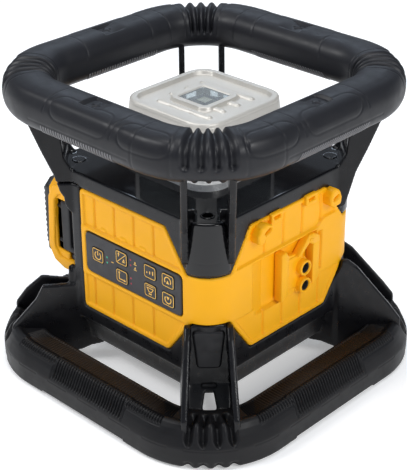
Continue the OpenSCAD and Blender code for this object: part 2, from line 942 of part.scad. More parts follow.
// Slice of the pack across its height, with chamfered corners
module pack_slab(x0, x1, inset) {
    y0 = pack_y + inset;
    y1 = pack_y + pack_l - inset;
    z0 = pack_z - pack_w / 2 + inset;
    z1 = pack_z + pack_w / 2 - inset;
    c = 8;
    translate([x0, 0, 0])
        rotate([90, 0, 90])
            linear_extrude(x1 - x0)
                polygon([
                    [y0 + c, z0], [y1 - c, z0], [y1, z0 + c], [y1, z1 - c],
                    [y1 - c, z1], [y0 + c, z1], [y0, z1 - c], [y0, z0 + c]
                ]);
}

module pack_base_case() {
    color([0.14, 0.14, 0.15])
    difference() {
        union() {
            pack_slab(pack_x, pack_x + 5, 4.5);
            pack_slab(pack_x + 5, band_x - gap, 1.5);
        }
        pack_slab(pack_x + 3, band_x + 1, 6);
        // finger grips along both sides of the base
        for (s = [-1, 1], i = [-4:4])
            translate([pack_x - 1, pack_y + pack_l / 2 + i * 11, pack_z + s * (pack_w / 2 - 2.5)])
                rotate([0, 90, 0]) cylinder(r = 3, h = 6);
    }
}

module latch_window(extra) {
    block([band_x + 7, pack_y - 1, pack_z - 20 - extra],
          [shoulder_x + 6, pack_y + 7, pack_z + 20 + extra]);
}

module pack_band() {
    color([0.96, 0.70, 0.10])
    difference() {
        pack_slab(band_x, lid_x - gap, 0);
        pack_slab(band_x - 1, lid_x + 1, 3);
        latch_window(0.5);
    }
}

module pack_top_case() {
    color([0.14, 0.14, 0.15])
    difference() {
        union() {
            pack_slab(lid_x, shoulder_x, 1.5);
            // tower with the rail grooves
            block([shoulder_x - 1, pack_y + 8, pack_z - tower_half],
                  [pack_top_x, pack_y + pack_l - 6, pack_z + tower_half]);
        }
        block([lid_x - 1, pack_y + 20, pack_z - 12],
              [pack_top_x - 2, pack_y + pack_l - 8, pack_z + 12]);
        for (s = [-1, 1])
            block([bay_x - 0.2, pack_y - 1, pack_z + s * (tower_half + 1) - 3],
                  [bay_x + 2.8, pack_y + pack_l + 1, pack_z + s * (tower_half + 1) + 3]);
        // slots for the terminal blades
        for (i = [-2:2])
            block([pack_top_x - 5.5, 4, pack_z + i * 5.5 - 0.9],
                  [pack_top_x + 1, pack_y + pack_l + 1, pack_z + i * 5.5 + 0.9]);
        // room for the latch and its tongue
        latch_window(0.5);
        block([shoulder_x - 8, pack_y - 1, pack_z - 10],
              [pack_top_x + 1, pack_y + 16, pack_z + 10]);
    }
}

module pack_cells() {
    color([0.3, 0.55, 0.35])
    for (i = [0:4])
        translate([pack_x + 15, pack_y + pack_l / 2 + (i - 2) * 18.6, pack_z - 27])
            cylinder(r = 9.1, h = 54);
}

// The release button: a grip plate in the end of the pack with a tongue on the rail side.
module latch_button() {
    color([0.10, 0.10, 0.11])
    union() {
        difference() {
            block([band_x + 12, pack_y + 0.4, pack_z - 20],
                  [shoulder_x - 0.5, pack_y + 5, pack_z + 20]);
            block([shoulder_x - 6.5, pack_y - 1, pack_z - 16],
                  [shoulder_x - 2.5, pack_y + 3.4, pack_z + 18]);
        }
        block([shoulder_x - 1.5, pack_y + 1, pack_z - 8],
              [pack_top_x - 0.4, pack_y + 5, pack_z + 8]);
        block([pack_top_x - 2, pack_y + 4.9, pack_z - 8],
              [pack_top_x + 0.5, pack_y + 9, pack_z + 8]);
    }
}

// Two small coils between the button and the case
module latch_spring() {
    color([0.7, 0.7, 0.7])
    for (s = [-1, 1])
        translate([band_x + 7.2, pack_y + 3.4, pack_z + s * 14])
            rotate([0, 90, 0]) difference() {
                cylinder(r = 1.8, h = 4.6);
                translate([0, 0, -1]) cylinder(r = 1.2, h = 7);
            }
}

// ---------- assembly ----------

top_bumper();
bottom_bumper();
top_housing();
base_housing();
main_housing();
battery_dock();
terminal_block();
keypad_overlay();
key(power_at);  // power_key
key(slope_at);  // slope_key
key(axis_at);  // axis_key
key(speed_at);  // speed_key
key(scan_at);  // scan_key
key(cw_at);  // clockwise_key
key(ccw_at);  // counterclockwise_key
keypad_board();
status_leds();
accessory_plate();
accessory_inserts();
head_base();
head_cap();
head_windows();
top_window();
head_screws();
gimbal_frame();
frame_pins();
gimbal_ring();
barrel_pins();
laser_barrel();
laser_module();
collimator_lens();
level_vials();
bearing_outer_race();
bearing_inner_race();
rotor();
pentaprism();
rotor_pulley();
encoder_disc();
drive_motor();
motor_pulley();
drive_belt();
levelling_motors();
on_x_screw() lead_screw(132);  // x_lead_screw
on_y_screw() lead_screw(152.5);  // y_lead_screw
on_x_screw() level_nut(x_arm_z);  // x_level_nut
on_y_screw() level_nut(gimbal_z);  // y_level_nut
main_board();
beeper();
tripod_insert();
side_tripod_insert();
housing_screws();
pack_base_case();
pack_band();
pack_top_case();
pack_cells();
latch_button();
latch_spring();
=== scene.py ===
"""Rotating laser level: moulded rings, frames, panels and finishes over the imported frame."""

import json
import math

import bmesh
import bpy
import numpy as np
from mathutils import Matrix, Vector


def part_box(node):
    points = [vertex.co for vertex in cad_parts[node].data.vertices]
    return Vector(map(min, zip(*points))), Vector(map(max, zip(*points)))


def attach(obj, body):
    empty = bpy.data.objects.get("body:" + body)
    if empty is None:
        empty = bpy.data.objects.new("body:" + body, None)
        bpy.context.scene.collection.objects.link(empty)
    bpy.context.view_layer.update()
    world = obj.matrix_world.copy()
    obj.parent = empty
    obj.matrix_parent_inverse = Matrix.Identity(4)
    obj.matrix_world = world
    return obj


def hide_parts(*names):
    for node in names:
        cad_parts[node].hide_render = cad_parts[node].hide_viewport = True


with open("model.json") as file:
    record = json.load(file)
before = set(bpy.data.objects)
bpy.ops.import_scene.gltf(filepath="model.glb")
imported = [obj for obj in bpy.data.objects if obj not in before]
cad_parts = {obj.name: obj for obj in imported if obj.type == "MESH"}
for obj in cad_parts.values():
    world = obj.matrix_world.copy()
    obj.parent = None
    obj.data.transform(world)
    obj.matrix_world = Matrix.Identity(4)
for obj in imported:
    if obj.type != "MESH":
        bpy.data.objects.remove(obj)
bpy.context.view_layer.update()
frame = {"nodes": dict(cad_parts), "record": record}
MM = 0.001
DEG = math.pi / 180


# ---------- view, light and floor ----------

VIEW_AZIMUTH = 43.98 * DEG
VIEW_ELEVATION = 27.5 * DEG
VIEW_ROLL = -0.39 * DEG
VIEW_DISTANCE = 0.95076
VIEW_TARGET = Vector((0, 0, 0.110))
LENS = 101.0
SENSOR_WIDTH = 36
LENS_SHIFT = (-0.0036, -0.0386)


def add_camera():
    level = math.cos(VIEW_ELEVATION)
    back = Vector((math.sin(VIEW_AZIMUTH) * level, -math.cos(VIEW_AZIMUTH) * level,
                   math.sin(VIEW_ELEVATION)))
    right = Vector((math.cos(VIEW_AZIMUTH), math.sin(VIEW_AZIMUTH), 0))
    up = back.cross(right)
    turned_right = math.cos(VIEW_ROLL) * right + math.sin(VIEW_ROLL) * up
    turned_up = -math.sin(VIEW_ROLL) * right + math.cos(VIEW_ROLL) * up
    data = bpy.data.cameras.new("camera")
    data.lens = LENS
    data.sensor_width = SENSOR_WIDTH
    data.shift_x, data.shift_y = LENS_SHIFT
    camera = bpy.data.objects.new("camera", data)
    bpy.context.scene.collection.objects.link(camera)
    camera.matrix_world = Matrix.Translation(VIEW_TARGET + back * VIEW_DISTANCE) @ Matrix(
        (turned_right, turned_up, back)
    ).transposed().to_4x4()
    bpy.context.scene.camera = camera


def add_light(name, position, aim, size, power, color=(1, 1, 1)):
    data = bpy.data.lights.new(name, "AREA")
    data.shape = "RECTANGLE"
    data.size, data.size_y = size
    data.energy = power
    data.color = color
    light = bpy.data.objects.new(name, data)
    bpy.context.scene.collection.objects.link(light)
    light.location = position
    light.rotation_euler = (Vector(aim) - Vector(position)).to_track_quat("-Z", "Y").to_euler()


def add_studio():
    world = bpy.data.worlds.new("studio")
    world.use_nodes = True
    background = world.node_tree.nodes["Background"]
    background.inputs["Color"].default_value = (0.80, 0.88, 1.0, 1)
    background.inputs["Strength"].default_value = 0.30
    bpy.context.scene.world = world
    bpy.context.scene.view_settings.view_transform = "Standard"
    add_light("key", (-0.75, -1.1, 1.5), (0, 0, 0.1), (0.9, 0.5), 17)
    add_light("fill", (1.5, -0.1, 1.2), (0, 0, 0.1), (0.8, 0.5), 14)
    add_light("top", (0.0, 0.0, 2.1), (0, 0, 0.1), (1.1, 0.5), 15)
    add_light("back", (-0.95, 1.0, 1.05), (0, 0, 0.15), (1.1, 0.14), 2.6, (0.72, 0.84, 1.0))


# ---------- materials ----------


MIX_FACTOR, MIX_A, MIX_B, MIX_RESULT = 0, 6, 7, 2    # sockets of a colour mix node
GRAIN_DEPTH = 0.00006
BROAD_SCALE, GLOSS_SCALE = 28, 140


def surface(name, color, rough, metallic=0.0, grain=900.0, bump=0.15, mottle=0.10,
            rough_spread=0.08, wear=0.0, wear_color=None, specular=0.5, coat=0.0,
            stretch=(1, 1, 1)):
    """A finish with fine grain, uneven gloss, faint mottling and lighter worn edges."""
    mat = bpy.data.materials.new(name)
    mat.use_nodes = True
    tree = mat.node_tree
    add, link = tree.nodes.new, tree.links.new
    shader = tree.nodes["Principled BSDF"]
    shader.inputs["Metallic"].default_value = metallic
    shader.inputs["Specular IOR Level"].default_value = specular
    shader.inputs["Coat Weight"].default_value = coat
    shader.inputs["Coat Roughness"].default_value = 0.06
    mapping = add("ShaderNodeMapping")
    mapping.inputs["Scale"].default_value = stretch
    link(add("ShaderNodeTexCoord").outputs["Object"], mapping.inputs["Vector"])

    def noise(scale, detail):
        made = add("ShaderNodeTexNoise")
        made.inputs["Scale"].default_value = scale
        made.inputs["Detail"].default_value = detail
        link(mapping.outputs["Vector"], made.inputs["Vector"])
        return made.outputs["Fac"]

    def remap(value, low, high, start=0.3, end=0.7):
        made = add("ShaderNodeMapRange")
        for socket, number in (("From Min", start), ("From Max", end), ("To Min", low),
                               ("To Max", high)):
            made.inputs[socket].default_value = number
        link(value, made.inputs["Value"])
        return made.outputs["Result"]

    def mixed(factor, other):
        made = add("ShaderNodeMix")
        made.data_type = "RGBA"
        made.inputs[MIX_B].default_value = (*other, 1)
        link(factor, made.inputs[MIX_FACTOR])
        return made

    mottled = mixed(remap(noise(BROAD_SCALE, 3), 0, 1), [min(1, c * (1 + mottle)) for c in color])
    mottled.inputs[MIX_A].default_value = (*[c * (1 - mottle) for c in color], 1)
    tinted = mottled.outputs[MIX_RESULT]
    if wear:
        edge = add("ShaderNodeNewGeometry").outputs["Pointiness"]
        worn = mixed(remap(edge, 0, wear, 0.53, 0.62),
                     wear_color or [min(1, 2.2 * c + 0.02) for c in color])
        link(tinted, worn.inputs[MIX_A])
        tinted = worn.outputs[MIX_RESULT]
    link(tinted, shader.inputs["Base Color"])
    link(remap(noise(GLOSS_SCALE, 4), max(0.03, rough - rough_spread),
               min(1, rough + rough_spread)), shader.inputs["Roughness"])
    bumps = add("ShaderNodeBump")
    bumps.inputs["Strength"].default_value = bump
    bumps.inputs["Distance"].default_value = GRAIN_DEPTH
    link(noise(grain, 2), bumps.inputs["Height"])
    link(bumps.outputs["Normal"], shader.inputs["Normal"])
    return mat


def glass(name, color):
    mat = surface(name, color, 0.03, grain=300, bump=0.02, mottle=0.03, rough_spread=0.02)
    shader = mat.node_tree.nodes["Principled BSDF"]
    shader.inputs["Transmission Weight"].default_value = 0.85
    shader.inputs["IOR"].default_value = 1.48
    return mat


RUBBER = surface("bumper_rubber", (0.0105, 0.0108, 0.0138), 0.43, grain=1500, bump=0.3,
                 wear=0.1, mottle=0.12, rough_spread=0.06, specular=0.32)
LOW_RUBBER = surface("lower_rubber", (0.0068, 0.0067, 0.0078), 0.45, grain=1500, bump=0.3,
                     mottle=0.12, rough_spread=0.06, specular=0.24)
# teeth rubber painted far lighter than the ring's own rubber: a painted reflection of the pale floor
# on the teeth
KNURL_PAINTED_REFLECTION = surface("knurl_rubber_painted_floor_reflection", (0.15, 0.148, 0.155), 0.45, grain=1300, bump=0.2)
# rubber of the flat inner band, with the yellow housing's reflection painted in as a warm brown tint
INNER_BAND_WARM_REFLECTION = surface("inner_band_painted_warm_reflection", (0.0115, 0.0062, 0.0034), 0.5, grain=1300, bump=0.3,
                     specular=0.3)
BLACK = surface("charcoal_plastic", (0.006, 0.006, 0.0074), 0.31, grain=1300, bump=0.12,
                specular=0.28)
GLOSS = surface("gloss_black", (0.004, 0.004, 0.005), 0.11, grain=60, bump=0.03, rough_spread=0.05,
                coat=0.15, specular=0.35)
YELLOW = surface("yellow_plastic", (0.95, 0.44, 0.003), 0.45, grain=1400, bump=0.15, mottle=0.03,
                 wear=0.25, wear_color=(1.0, 0.60, 0.06), specular=0.25)
KEYPAD = surface("keypad_film", (0.029, 0.0275, 0.031), 0.45, grain=1600, bump=0.2, specular=0.4)
LEGEND = surface("keypad_legend", (1.0, 0.56, 0.10), 0.5, grain=1200, bump=0.05)
ALUMINIUM = surface("cast_aluminium", (0.56, 0.54, 0.50), 0.42, metallic=0.35, grain=1100, bump=0.3,
                    mottle=0.05, wear=0.3, wear_color=(0.60, 0.585, 0.55))
# head base aluminium painted near white: painted light that makes up for the shade of the ring over
# the flange
FLANGE_PAINTED_LIGHT = surface("head_base_painted_light", (1.0, 0.99, 0.96), 0.3, metallic=0.15, grain=900, bump=0.3)
GREY_METAL = surface("machined_aluminium", (0.55, 0.55, 0.55), 0.3, metallic=0.9, grain=700,
                     bump=0.15, stretch=(1, 1, 6))
DARK_METAL = surface("black_anodised", (0.02, 0.02, 0.022), 0.35, metallic=0.6, grain=900, bump=0.1)
STEEL = surface("turned_steel", (0.56, 0.56, 0.58), 0.26, metallic=1.0, grain=800, bump=0.12,
                stretch=(1, 1, 8))
BRASS = surface("turned_brass", (0.66, 0.46, 0.16), 0.28, metallic=1.0, grain=800, bump=0.12,
                stretch=(1, 1, 8))
BOARD = surface("solder_mask", (0.010, 0.10, 0.035), 0.4, grain=400, bump=0.2)
WHITE = surface("white_plastic", (0.75, 0.75, 0.72), 0.45)
BELT = surface("belt_rubber", (0.015, 0.015, 0.016), 0.6, grain=1200, bump=0.4)
WRAP = surface("cell_wrap", (0.05, 0.22, 0.10), 0.25)
GREEN_LED = surface("green_led", (0.02, 0.45, 0.25), 0.2, coat=0.5)
RED_LED = surface("red_led", (0.50, 0.03, 0.06), 0.2, coat=0.5)
GLASS = glass("window_glass", (0.80, 0.86, 0.88))
HOLE = surface("shadow_black", (0.004, 0.004, 0.004), 0.7)
FLOOR = surface("pale_floor", (0.93, 0.93, 0.93), 0.6, grain=40, bump=0.02, mottle=0.01)
floor_inputs = FLOOR.node_tree.nodes["Principled BSDF"].inputs
floor_inputs["Emission Color"].default_value = (1, 1, 1, 1)
floor_inputs["Emission Strength"].default_value = 0.32
SATIN = surface("satin_black", (0.011, 0.011, 0.013), 0.42, grain=1300, bump=0.25, specular=0.32)
CREAM = surface("prism_reflection", (0.80, 0.76, 0.58), 0.15, grain=500, bump=0.02, coat=0.5)
NAVY = surface("prism_coating", (0.03, 0.035, 0.06), 0.08, metallic=0.6, grain=500, bump=0.02)


# ---------- mesh tools (millimetres in, metres out) ----------

SHARP = 50 * DEG
UP = np.array([0, 0, 1.0])


def add_object(name, mesh, mats, body="housing"):
    made = bpy.data.objects.new(name, mesh)
    bpy.context.scene.collection.objects.link(made)
    for mat in mats:
        mesh.materials.append(mat)
    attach(made, body)
    return made


def mesh_from(name, points, faces, smooth=True):
    mesh = bpy.data.meshes.new(name)
    mesh.from_pydata((np.asarray(points) * MM).tolist(), [], [list(map(int, f)) for f in faces])
    mesh.validate()
    if smooth:
        mesh.shade_smooth()
    else:
        mesh.shade_flat()
    return mesh


def spread(*values):
    """The values as arrays of one shape."""
    return np.broadcast_arrays(*(np.asarray(value, float) for value in values))


def read_points(mesh):
    points = np.zeros(len(mesh.vertices) * 3)
    mesh.vertices.foreach_get("co", points)
    return points.reshape(-1, 3) / MM


def write_points(mesh, points):
    mesh.vertices.foreach_set("co", (points * MM).ravel())
    mesh.update()


def tube_faces(rows, columns):
    """Quads of a grid that closes on itself both ways."""
    i, j = np.meshgrid(np.arange(rows), np.arange(columns), indexing="ij")
    a, b = i * columns + j, ((i + 1) % rows) * columns + j
    c = ((i + 1) % rows) * columns + (j + 1) % columns
    d = i * columns + (j + 1) % columns
    return np.stack([a, b, c, d], -1).reshape(-1, 4)


def smoothstep(low, high, x):
    t = np.clip((x - low) / (high - low), 0, 1)
    return t * t * (3 - 2 * t)


def window(low, high, soft, x):
    """1 between low and high, falling to 0 over soft outside."""
    return smoothstep(low - soft, low, x) * (1 - smoothstep(high, high + soft, x))


def line(at, width, x):
    return np.exp(-(((x - at) / width) ** 2))


def ring_path(half, radius, step):
    """Round the rounded square: point, outward direction, q along the side (positive
    towards the front and back corners), and the angle from the nearest diagonal."""
    straight = half - radius
    rows = []
    for side in range(4):
        # side 0 is +X, 1 is +Y, 2 is -X, 3 is -Y, each followed by its corner
        c, s = math.cos(side * math.pi / 2), math.sin(side * math.pi / 2)
        spin = np.array([[c, -s], [s, c]])
        sign = -1 if side in (0, 2) else 1
        count = max(4, round(2 * straight / step))
        for t in np.linspace(-straight, straight, count, endpoint=False):
            rows.append((spin @ (half, t), spin @ (1, 0), sign * t,
                         45 + (straight - abs(t)) / radius / DEG))
        count = max(8, round(radius * math.pi / 2 / step))
        for angle in np.linspace(0, 90, count, endpoint=False):
            direction = np.array([math.cos(angle * DEG), math.sin(angle * DEG)])
            along = straight + radius * min(angle, 90 - angle) * DEG
            rows.append((spin @ (straight + radius * direction), spin @ direction,
                         sign * along, abs(angle - 45)))
    return [np.array(column) for column in zip(*rows)]


def section_normals(points):
    edge = np.roll(points, -1, 0) - np.roll(points, 1, 0)
    normal = np.stack([edge[:, 1], -edge[:, 0]], -1)
    return normal / np.linalg.norm(normal, axis=1)[:, None]


def sweep(name, path, section, mid_z, rise):
    """The section (outwards, up) swept along the path and moved along its normals by rise."""
    centre, out, q, phi = path
    normal = section_normals(section)
    lift = rise(q[:, None], phi[:, None], np.arange(len(section))[None, :])
    local = section[None] + normal[None] * lift[..., None]
    xy = centre[:, None] + out[:, None] * local[..., :1]
    points = np.concatenate([xy, mid_z + local[..., 1:]], -1).reshape(-1, 3)
    return mesh_from(name, points, tube_faces(len(q), len(section)))


def inside_distance(points, outline):
    """How far inside a closed outline each point is, and the nearest outline point."""
    best = np.full(len(points), 1e9)
    near = np.zeros_like(points)
    odd = np.zeros(len(points), bool)
    for p, q in zip(outline, np.roll(outline, -1, 0)):
        edge = q - p
        t = np.clip((points - p) @ edge / (edge @ edge), 0, 1)
        foot = p + t[:, None] * edge
        away = np.linalg.norm(points - foot, axis=1)
        closer = away < best
        best[closer], near[closer] = away[closer], foot[closer]
        if p[1] != q[1]:
            crosses = (p[1] > points[:, 1]) != (q[1] > points[:, 1])
            odd ^= crosses & (points[:, 0] < p[0] + (points[:, 1] - p[1]) / edge[1] * edge[0])
    return np.where(odd, best, -best), near


def rounded(outline, radius, steps=6):
    """The outline with each corner turned into an arc."""
    made = []
    pts = [np.array(p, float) for p in outline]
    for i, p in enumerate(pts):
        a, b = pts[i - 1] - p, pts[(i + 1) % len(pts)] - p
        la, lb = np.linalg.norm(a), np.linalg.norm(b)
        a, b = a / la, b / lb
        half = math.acos(max(-1, min(1, float(a @ b)))) / 2
        if half > 88 * DEG:
            made.append(p)
            continue
        cut = min(radius / math.tan(half), 0.45 * la, 0.45 * lb)
        start, end = p + a * cut, p + b * cut
        for t in np.linspace(0, 1, steps + 1):
            made.append((1 - t) ** 2 * start + 2 * t * (1 - t) * p + t * t * end)
    return np.array(made)


def plate_mesh(name, outline, step, rise, place, depth=2.5, holes=()):
    """A moulded plate over the outline (a, b). rise(a, b, d) gives its height, where d is the
    distance inside the outline, and place(a, b, h) its points in space."""
    low, high = outline.min(0) - 1.5 * step, outline.max(0) + 1.5 * step
    a = np.arange(low[0], high[0] + step, step)
    b = np.arange(low[1], high[1] + step, step)
    grid = np.stack(np.meshgrid(a, b, indexing="ij"), -1)
    shape = grid.shape[:2]
    flat = grid.reshape(-1, 2)
    d, near = inside_distance(flat, outline)
    for hole in holes:
        in_hole, foot = inside_distance(flat, hole)
        closer = -in_hole < d
        d[closer], near[closer] = -in_hole[closer], foot[closer]
    snap = (d > -0.8 * step) & (d < 0.45 * step)
    flat = np.where(snap[:, None], near, flat)
    d = np.where(snap, 0, d)
    keep = d >= 0
    height = rise(flat[:, 0], flat[:, 1], d)
    i, j = np.meshgrid(np.arange(shape[0] - 1), np.arange(shape[1] - 1), indexing="ij")
    corner = (i * shape[1] + j).ravel()
    quads = np.stack([corner, corner + shape[1], corner + shape[1] + 1, corner + 1], -1)
    count = keep[quads].sum(1)
    faces = [list(f) for f in quads[count == 4]]
    faces += [[v for v in f if keep[v]] for f in quads[count == 3]]
    used = np.unique(np.concatenate([np.array(f) for f in faces]))
    number = np.full(len(flat), -1)
    number[used] = np.arange(len(used))
    faces = [[int(number[v]) for v in f] for f in faces]
    edges = {}
    for f in faces:
        for v, w in zip(f, f[1:] + f[:1]):
            edges[(v, w)] = edges.get((v, w), 0) + 1
    rim = [e for e in edges if (e[1], e[0]) not in edges]
    top = place(flat[used, 0], flat[used, 1], height[used])
    rim_points = sorted({v for e in rim for v in e})
    lower = {v: len(used) + n for n, v in enumerate(rim_points)}
    base = place(
        flat[used][rim_points, 0], flat[used][rim_points, 1], np.full(len(rim_points), -depth)
    )
    faces += [[w, v, lower[v], lower[w]] for v, w in rim]
    return mesh_from(name, np.concatenate([top, base]), faces)


def edge_round(d, radius):
    """Height lost near an edge of this radius."""
    t = np.clip(1 - d / radius, 0, 1)
    return radius * (1 - np.sqrt(1 - t * t))


def softened(name, cad_node, voxel, rounds, mats, body="housing"):
    """A copy of a CAD solid with moulded, rounded edges that stands for it."""
    mesh = frame["nodes"][cad_node].data.copy()
    mesh.materials.clear()
    bm = bmesh.new()
    bm.from_mesh(mesh)
    bmesh.ops.remove_doubles(bm, verts=bm.verts, dist=1e-6)
    bm.to_mesh(mesh)
    bm.free()
    made = add_object(name, mesh, mats, body)
    remesh = made.modifiers.new("remesh", "REMESH")
    remesh.mode = "VOXEL"
    remesh.voxel_size = voxel * MM
    smooth = made.modifiers.new("smooth", "SMOOTH")
    smooth.factor = 0.5
    smooth.iterations = rounds
    depsgraph = bpy.context.evaluated_depsgraph_get()
    mesh = bpy.data.meshes.new_from_object(made.evaluated_get(depsgraph))
    made.modifiers.clear()
    made.data = mesh
    mesh.shade_smooth()
    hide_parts(cad_node)
    return made


def face_data(mesh):
    count = len(mesh.polygons)
    middle, normal = np.zeros(count * 3), np.zeros(count * 3)
    mesh.polygons.foreach_get("center", middle)
    mesh.polygons.foreach_get("normal", normal)
    return middle.reshape(-1, 3) / MM, normal.reshape(-1, 3)


def prism_mesh(name, outline, low, high, place, bevel=0.0, segments=2):
    """An extruded outline (a, b) from low to high, with rounded edges."""
    bm = bmesh.new()
    base = [bm.verts.new(np.ravel(place(p[0], p[1], low))) for p in outline]
    top = [bm.verts.new(np.ravel(place(p[0], p[1], high))) for p in outline]
    bm.faces.new(base[::-1])
    bm.faces.new(top)
    count = len(base)
    for i in range(count):
        j = (i + 1) % count
        bm.faces.new((base[i], base[j], top[j], top[i]))
    bmesh.ops.recalc_face_normals(bm, faces=bm.faces)
    if bevel:
        sharp = [e for e in bm.edges if e.calc_face_angle(0) > 0.45]
        bmesh.ops.bevel(bm, geom=sharp, offset=bevel, segments=segments, affect="EDGES",
                        clamp_overlap=True, profile=0.5)
    for v in bm.verts:
        v.co *= MM
    mesh = bpy.data.meshes.new(name)
    bm.to_mesh(mesh)
    bm.free()
    mesh.shade_smooth()
    mesh.set_sharp_from_angle(angle=SHARP)
    return mesh


def join(name, meshes, mats, body="housing", indices=None):
    """Several meshes as one piece; indices gives each one's material."""
    bm = bmesh.new()
    for n, mesh in enumerate(meshes):
        first = len(bm.faces)
        bm.from_mesh(mesh)
        bm.faces.ensure_lookup_table()
        if indices:
            for f in bm.faces[first:]:
                f.material_index = indices[n]
    made = bpy.data.meshes.new(name)
    bm.to_mesh(made)
    bm.free()
    made.shade_smooth()
    made.set_sharp_from_angle(angle=SHARP)
    return add_object(name, made, mats, body)


def box_outline(a0, b0, a1, b1):
    return [(a0, b0), (a1, b0), (a1, b1), (a0, b1)]


def stadium(a0, b0, a1, b1, r):
    """Outline of a bar with round ends from (a0, b0) to (a1, b1)."""
    turn = math.atan2(b1 - b0, a1 - a0)
    made = []
    for at, start in (((a1, b1), -90), ((a0, b0), 90)):
        for n in range(9):
            angle = turn + (start + 180 * n / 8) * DEG
            made.append((at[0] + r * math.cos(angle), at[1] + r * math.sin(angle)))
    return made


def circle(a, b, r, count):
    return [(a + r * math.cos(t), b + r * math.sin(t))
            for t in np.arange(count) * 2 * math.pi / count]


# ---------- bumper rings ----------

top_low, top_high = (np.array(v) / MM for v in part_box("top_bumper"))
TOP_W, TOP_H = 36.0, top_high[2] - top_low[2]
RING_SLACK = 0.05    # the rings stay this far inside the CAD's sides
TOP_SKIN = 0.3       # and the top ring's section this far inside its own
TOP_HALF = top_high[0] - TOP_W / 2 - RING_SLACK
TOP_R = 51.0
TOP_MID = (top_high[2] + top_low[2]) / 2
TOP_POWER = 2.5      # of the section's superellipse
BASE_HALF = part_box("bottom_bumper")[1][0] / MM - RING_SLACK
BASE_R = 68.0
GRIP_PITCH = 2.5     # of the fine ribs and of the grip pads


def rib_wave(phi, pitch, count):
    """0 on the ribs, 1 in the middle of the grooves of a bundle centred on the diagonal."""
    wave = 0.5 - 0.5 * np.cos(2 * np.pi * (phi / pitch))
    inside = 1 - smoothstep(count * pitch - 0.3, count * pitch + 0.3, phi)
    return np.power(np.clip(wave, 0, 1), 1.3) * inside


def top_ring_rise(theta):
    """Height of the top ring's surface. theta is the angle round the section, 0 outside."""
    run = theta * TOP_W / 2 * DEG

    def rise(q, phi, j):
        th, w = theta[j], run[j]
        groove = rib_wave(phi, 8.1, 2)
        taper = 9 * (1 - groove)
        over = smoothstep(-14, -2, th - taper) * (1 - smoothstep(178, 192, th + taper))
        under = window(-104, -44, 7, th)
        made = -3.4 * groove * over - 3.8 * groove * under
        # soft crease between the top and the outside
        made += 0.7 * line(46, 11, th) * (1 - window(0, 20.5, 1.5, phi))
        # panel joints across the ring
        across = window(-35, 190, 4, th)
        made -= 0.35 * across * line(50, 0.55, q)
        bend = 3.0 * np.sin(np.clip(th, 0, 180) * DEG)
        for at in (30.0, -33.0):
            made -= 0.35 * window(20, 165, 4, th) * line(at + bend, 0.6, q)
        made -= 0.4 * window(-30, 190, 4, th) * line(20.5, 0.7, phi)
        # bulged lozenges low on the outside
        for middle, half in ((54.0, 17.0), (1.0, 27.0)):
            fall = np.maximum(np.abs(q - middle) - half + 9, 0)
            drop = np.maximum(np.abs(w - 13.0) - 10.0 + 9, 0)
            away = np.hypot(fall, drop) - 9
            made += 0.25 * (1 - smoothstep(-5, 0, away)) - 0.32 * line(0, 0.6, away)
        # lengthwise joint along the outside
        made -= 0.4 * line(-15 * TOP_W / 2 * DEG, 0.5, w) * (np.abs(q) < 47)
        # recess with a sloping end
        notch = window(70, 118, 2, th) * smoothstep(-7.6, -6.6, q) * (1 - smoothstep(1, 14, q))
        made -= 2.2 * notch
        star = (np.abs(q - 1) * np.abs(w - 29) < 1.3) * window(-4, 6, 0.4, q) * (abs(w - 29) < 4)
        made += 0.7 * star
        return made

    return rise


def superellipse(width, height, power, count):
    t = np.arange(count) * 2 * math.pi / count
    x = width / 2 * np.sign(np.cos(t)) * np.abs(np.cos(t)) ** (2 / power)
    z = height / 2 * np.sign(np.sin(t)) * np.abs(np.sin(t)) ** (2 / power)
    return resample(np.stack([x, z], -1), count)


def resample(points, count):
    """Points evenly spaced along a closed outline."""
    closed = np.vstack([points, points[:1]])
    run = np.concatenate([[0], np.cumsum(np.linalg.norm(np.diff(closed, axis=0), axis=1))])
    at = np.linspace(0, run[-1], count, endpoint=False)
    return np.stack([np.interp(at, run, closed[:, 0]), np.interp(at, run, closed[:, 1])], -1)


def add_top_ring():
    section = superellipse(TOP_W - 2 * TOP_SKIN, TOP_H - 2 * TOP_SKIN, TOP_POWER, 150)
    theta = np.degrees(np.arctan2(section[:, 1] / TOP_H, section[:, 0] / TOP_W))
    theta = np.where(theta < -120, theta + 360, theta)
    path = ring_path(TOP_HALF, TOP_R, 0.62)
    mesh = sweep("top_ring", path, section, TOP_MID, top_ring_rise(theta))
    ring = add_object("top_ring", mesh, [RUBBER])
    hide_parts("top_bumper")
    # the teeth carry the rubber with the floor's reflection painted in as a lighter grey
    join("knurl_strips", knurl_teeth(), [KNURL_PAINTED_REFLECTION])


def knurl_teeth():
    """Slanting teeth along the lower edges of the top ring's straight runs."""
    teeth = []
    for k in range(4):
        turn = k * math.pi / 2

        def place(q, theta, h, turn=turn):
            q, theta, h = spread(q, theta, h)
            c, s = np.cos(theta * DEG), np.sin(theta * DEG)
            reach = (np.abs(c) ** TOP_POWER + np.abs(s) ** TOP_POWER) ** (-1 / TOP_POWER)
            x = TOP_HALF + ((TOP_W / 2 - TOP_SKIN) * reach + h) * c
            z = TOP_MID + ((TOP_H / 2 - TOP_SKIN) * reach + h) * s
            return np.stack([x * math.cos(turn) - q * math.sin(turn),
                             x * math.sin(turn) + q * math.cos(turn), z], -1)

        for i in range(28):
            at = -38 + 2.45 * i
            for low in (-57.0, -49.5, -42.0, -34.5, -27.0, 207.0, 214.5, 222.0, 229.5):
                q0 = at + 0.09 * (low + 57 if low < 0 else 237 - low - 7.5)
                q1 = q0 + (0.68 if low < 0 else -0.68)
                outline = [(q0, low), (q0 + 1.2, low), (q1 + 1.2, low + 7.6), (q1, low + 7.6)]
                teeth.append(prism_mesh("tooth", outline, -0.6, 0.35, place, 0.0, 1))
    return teeth


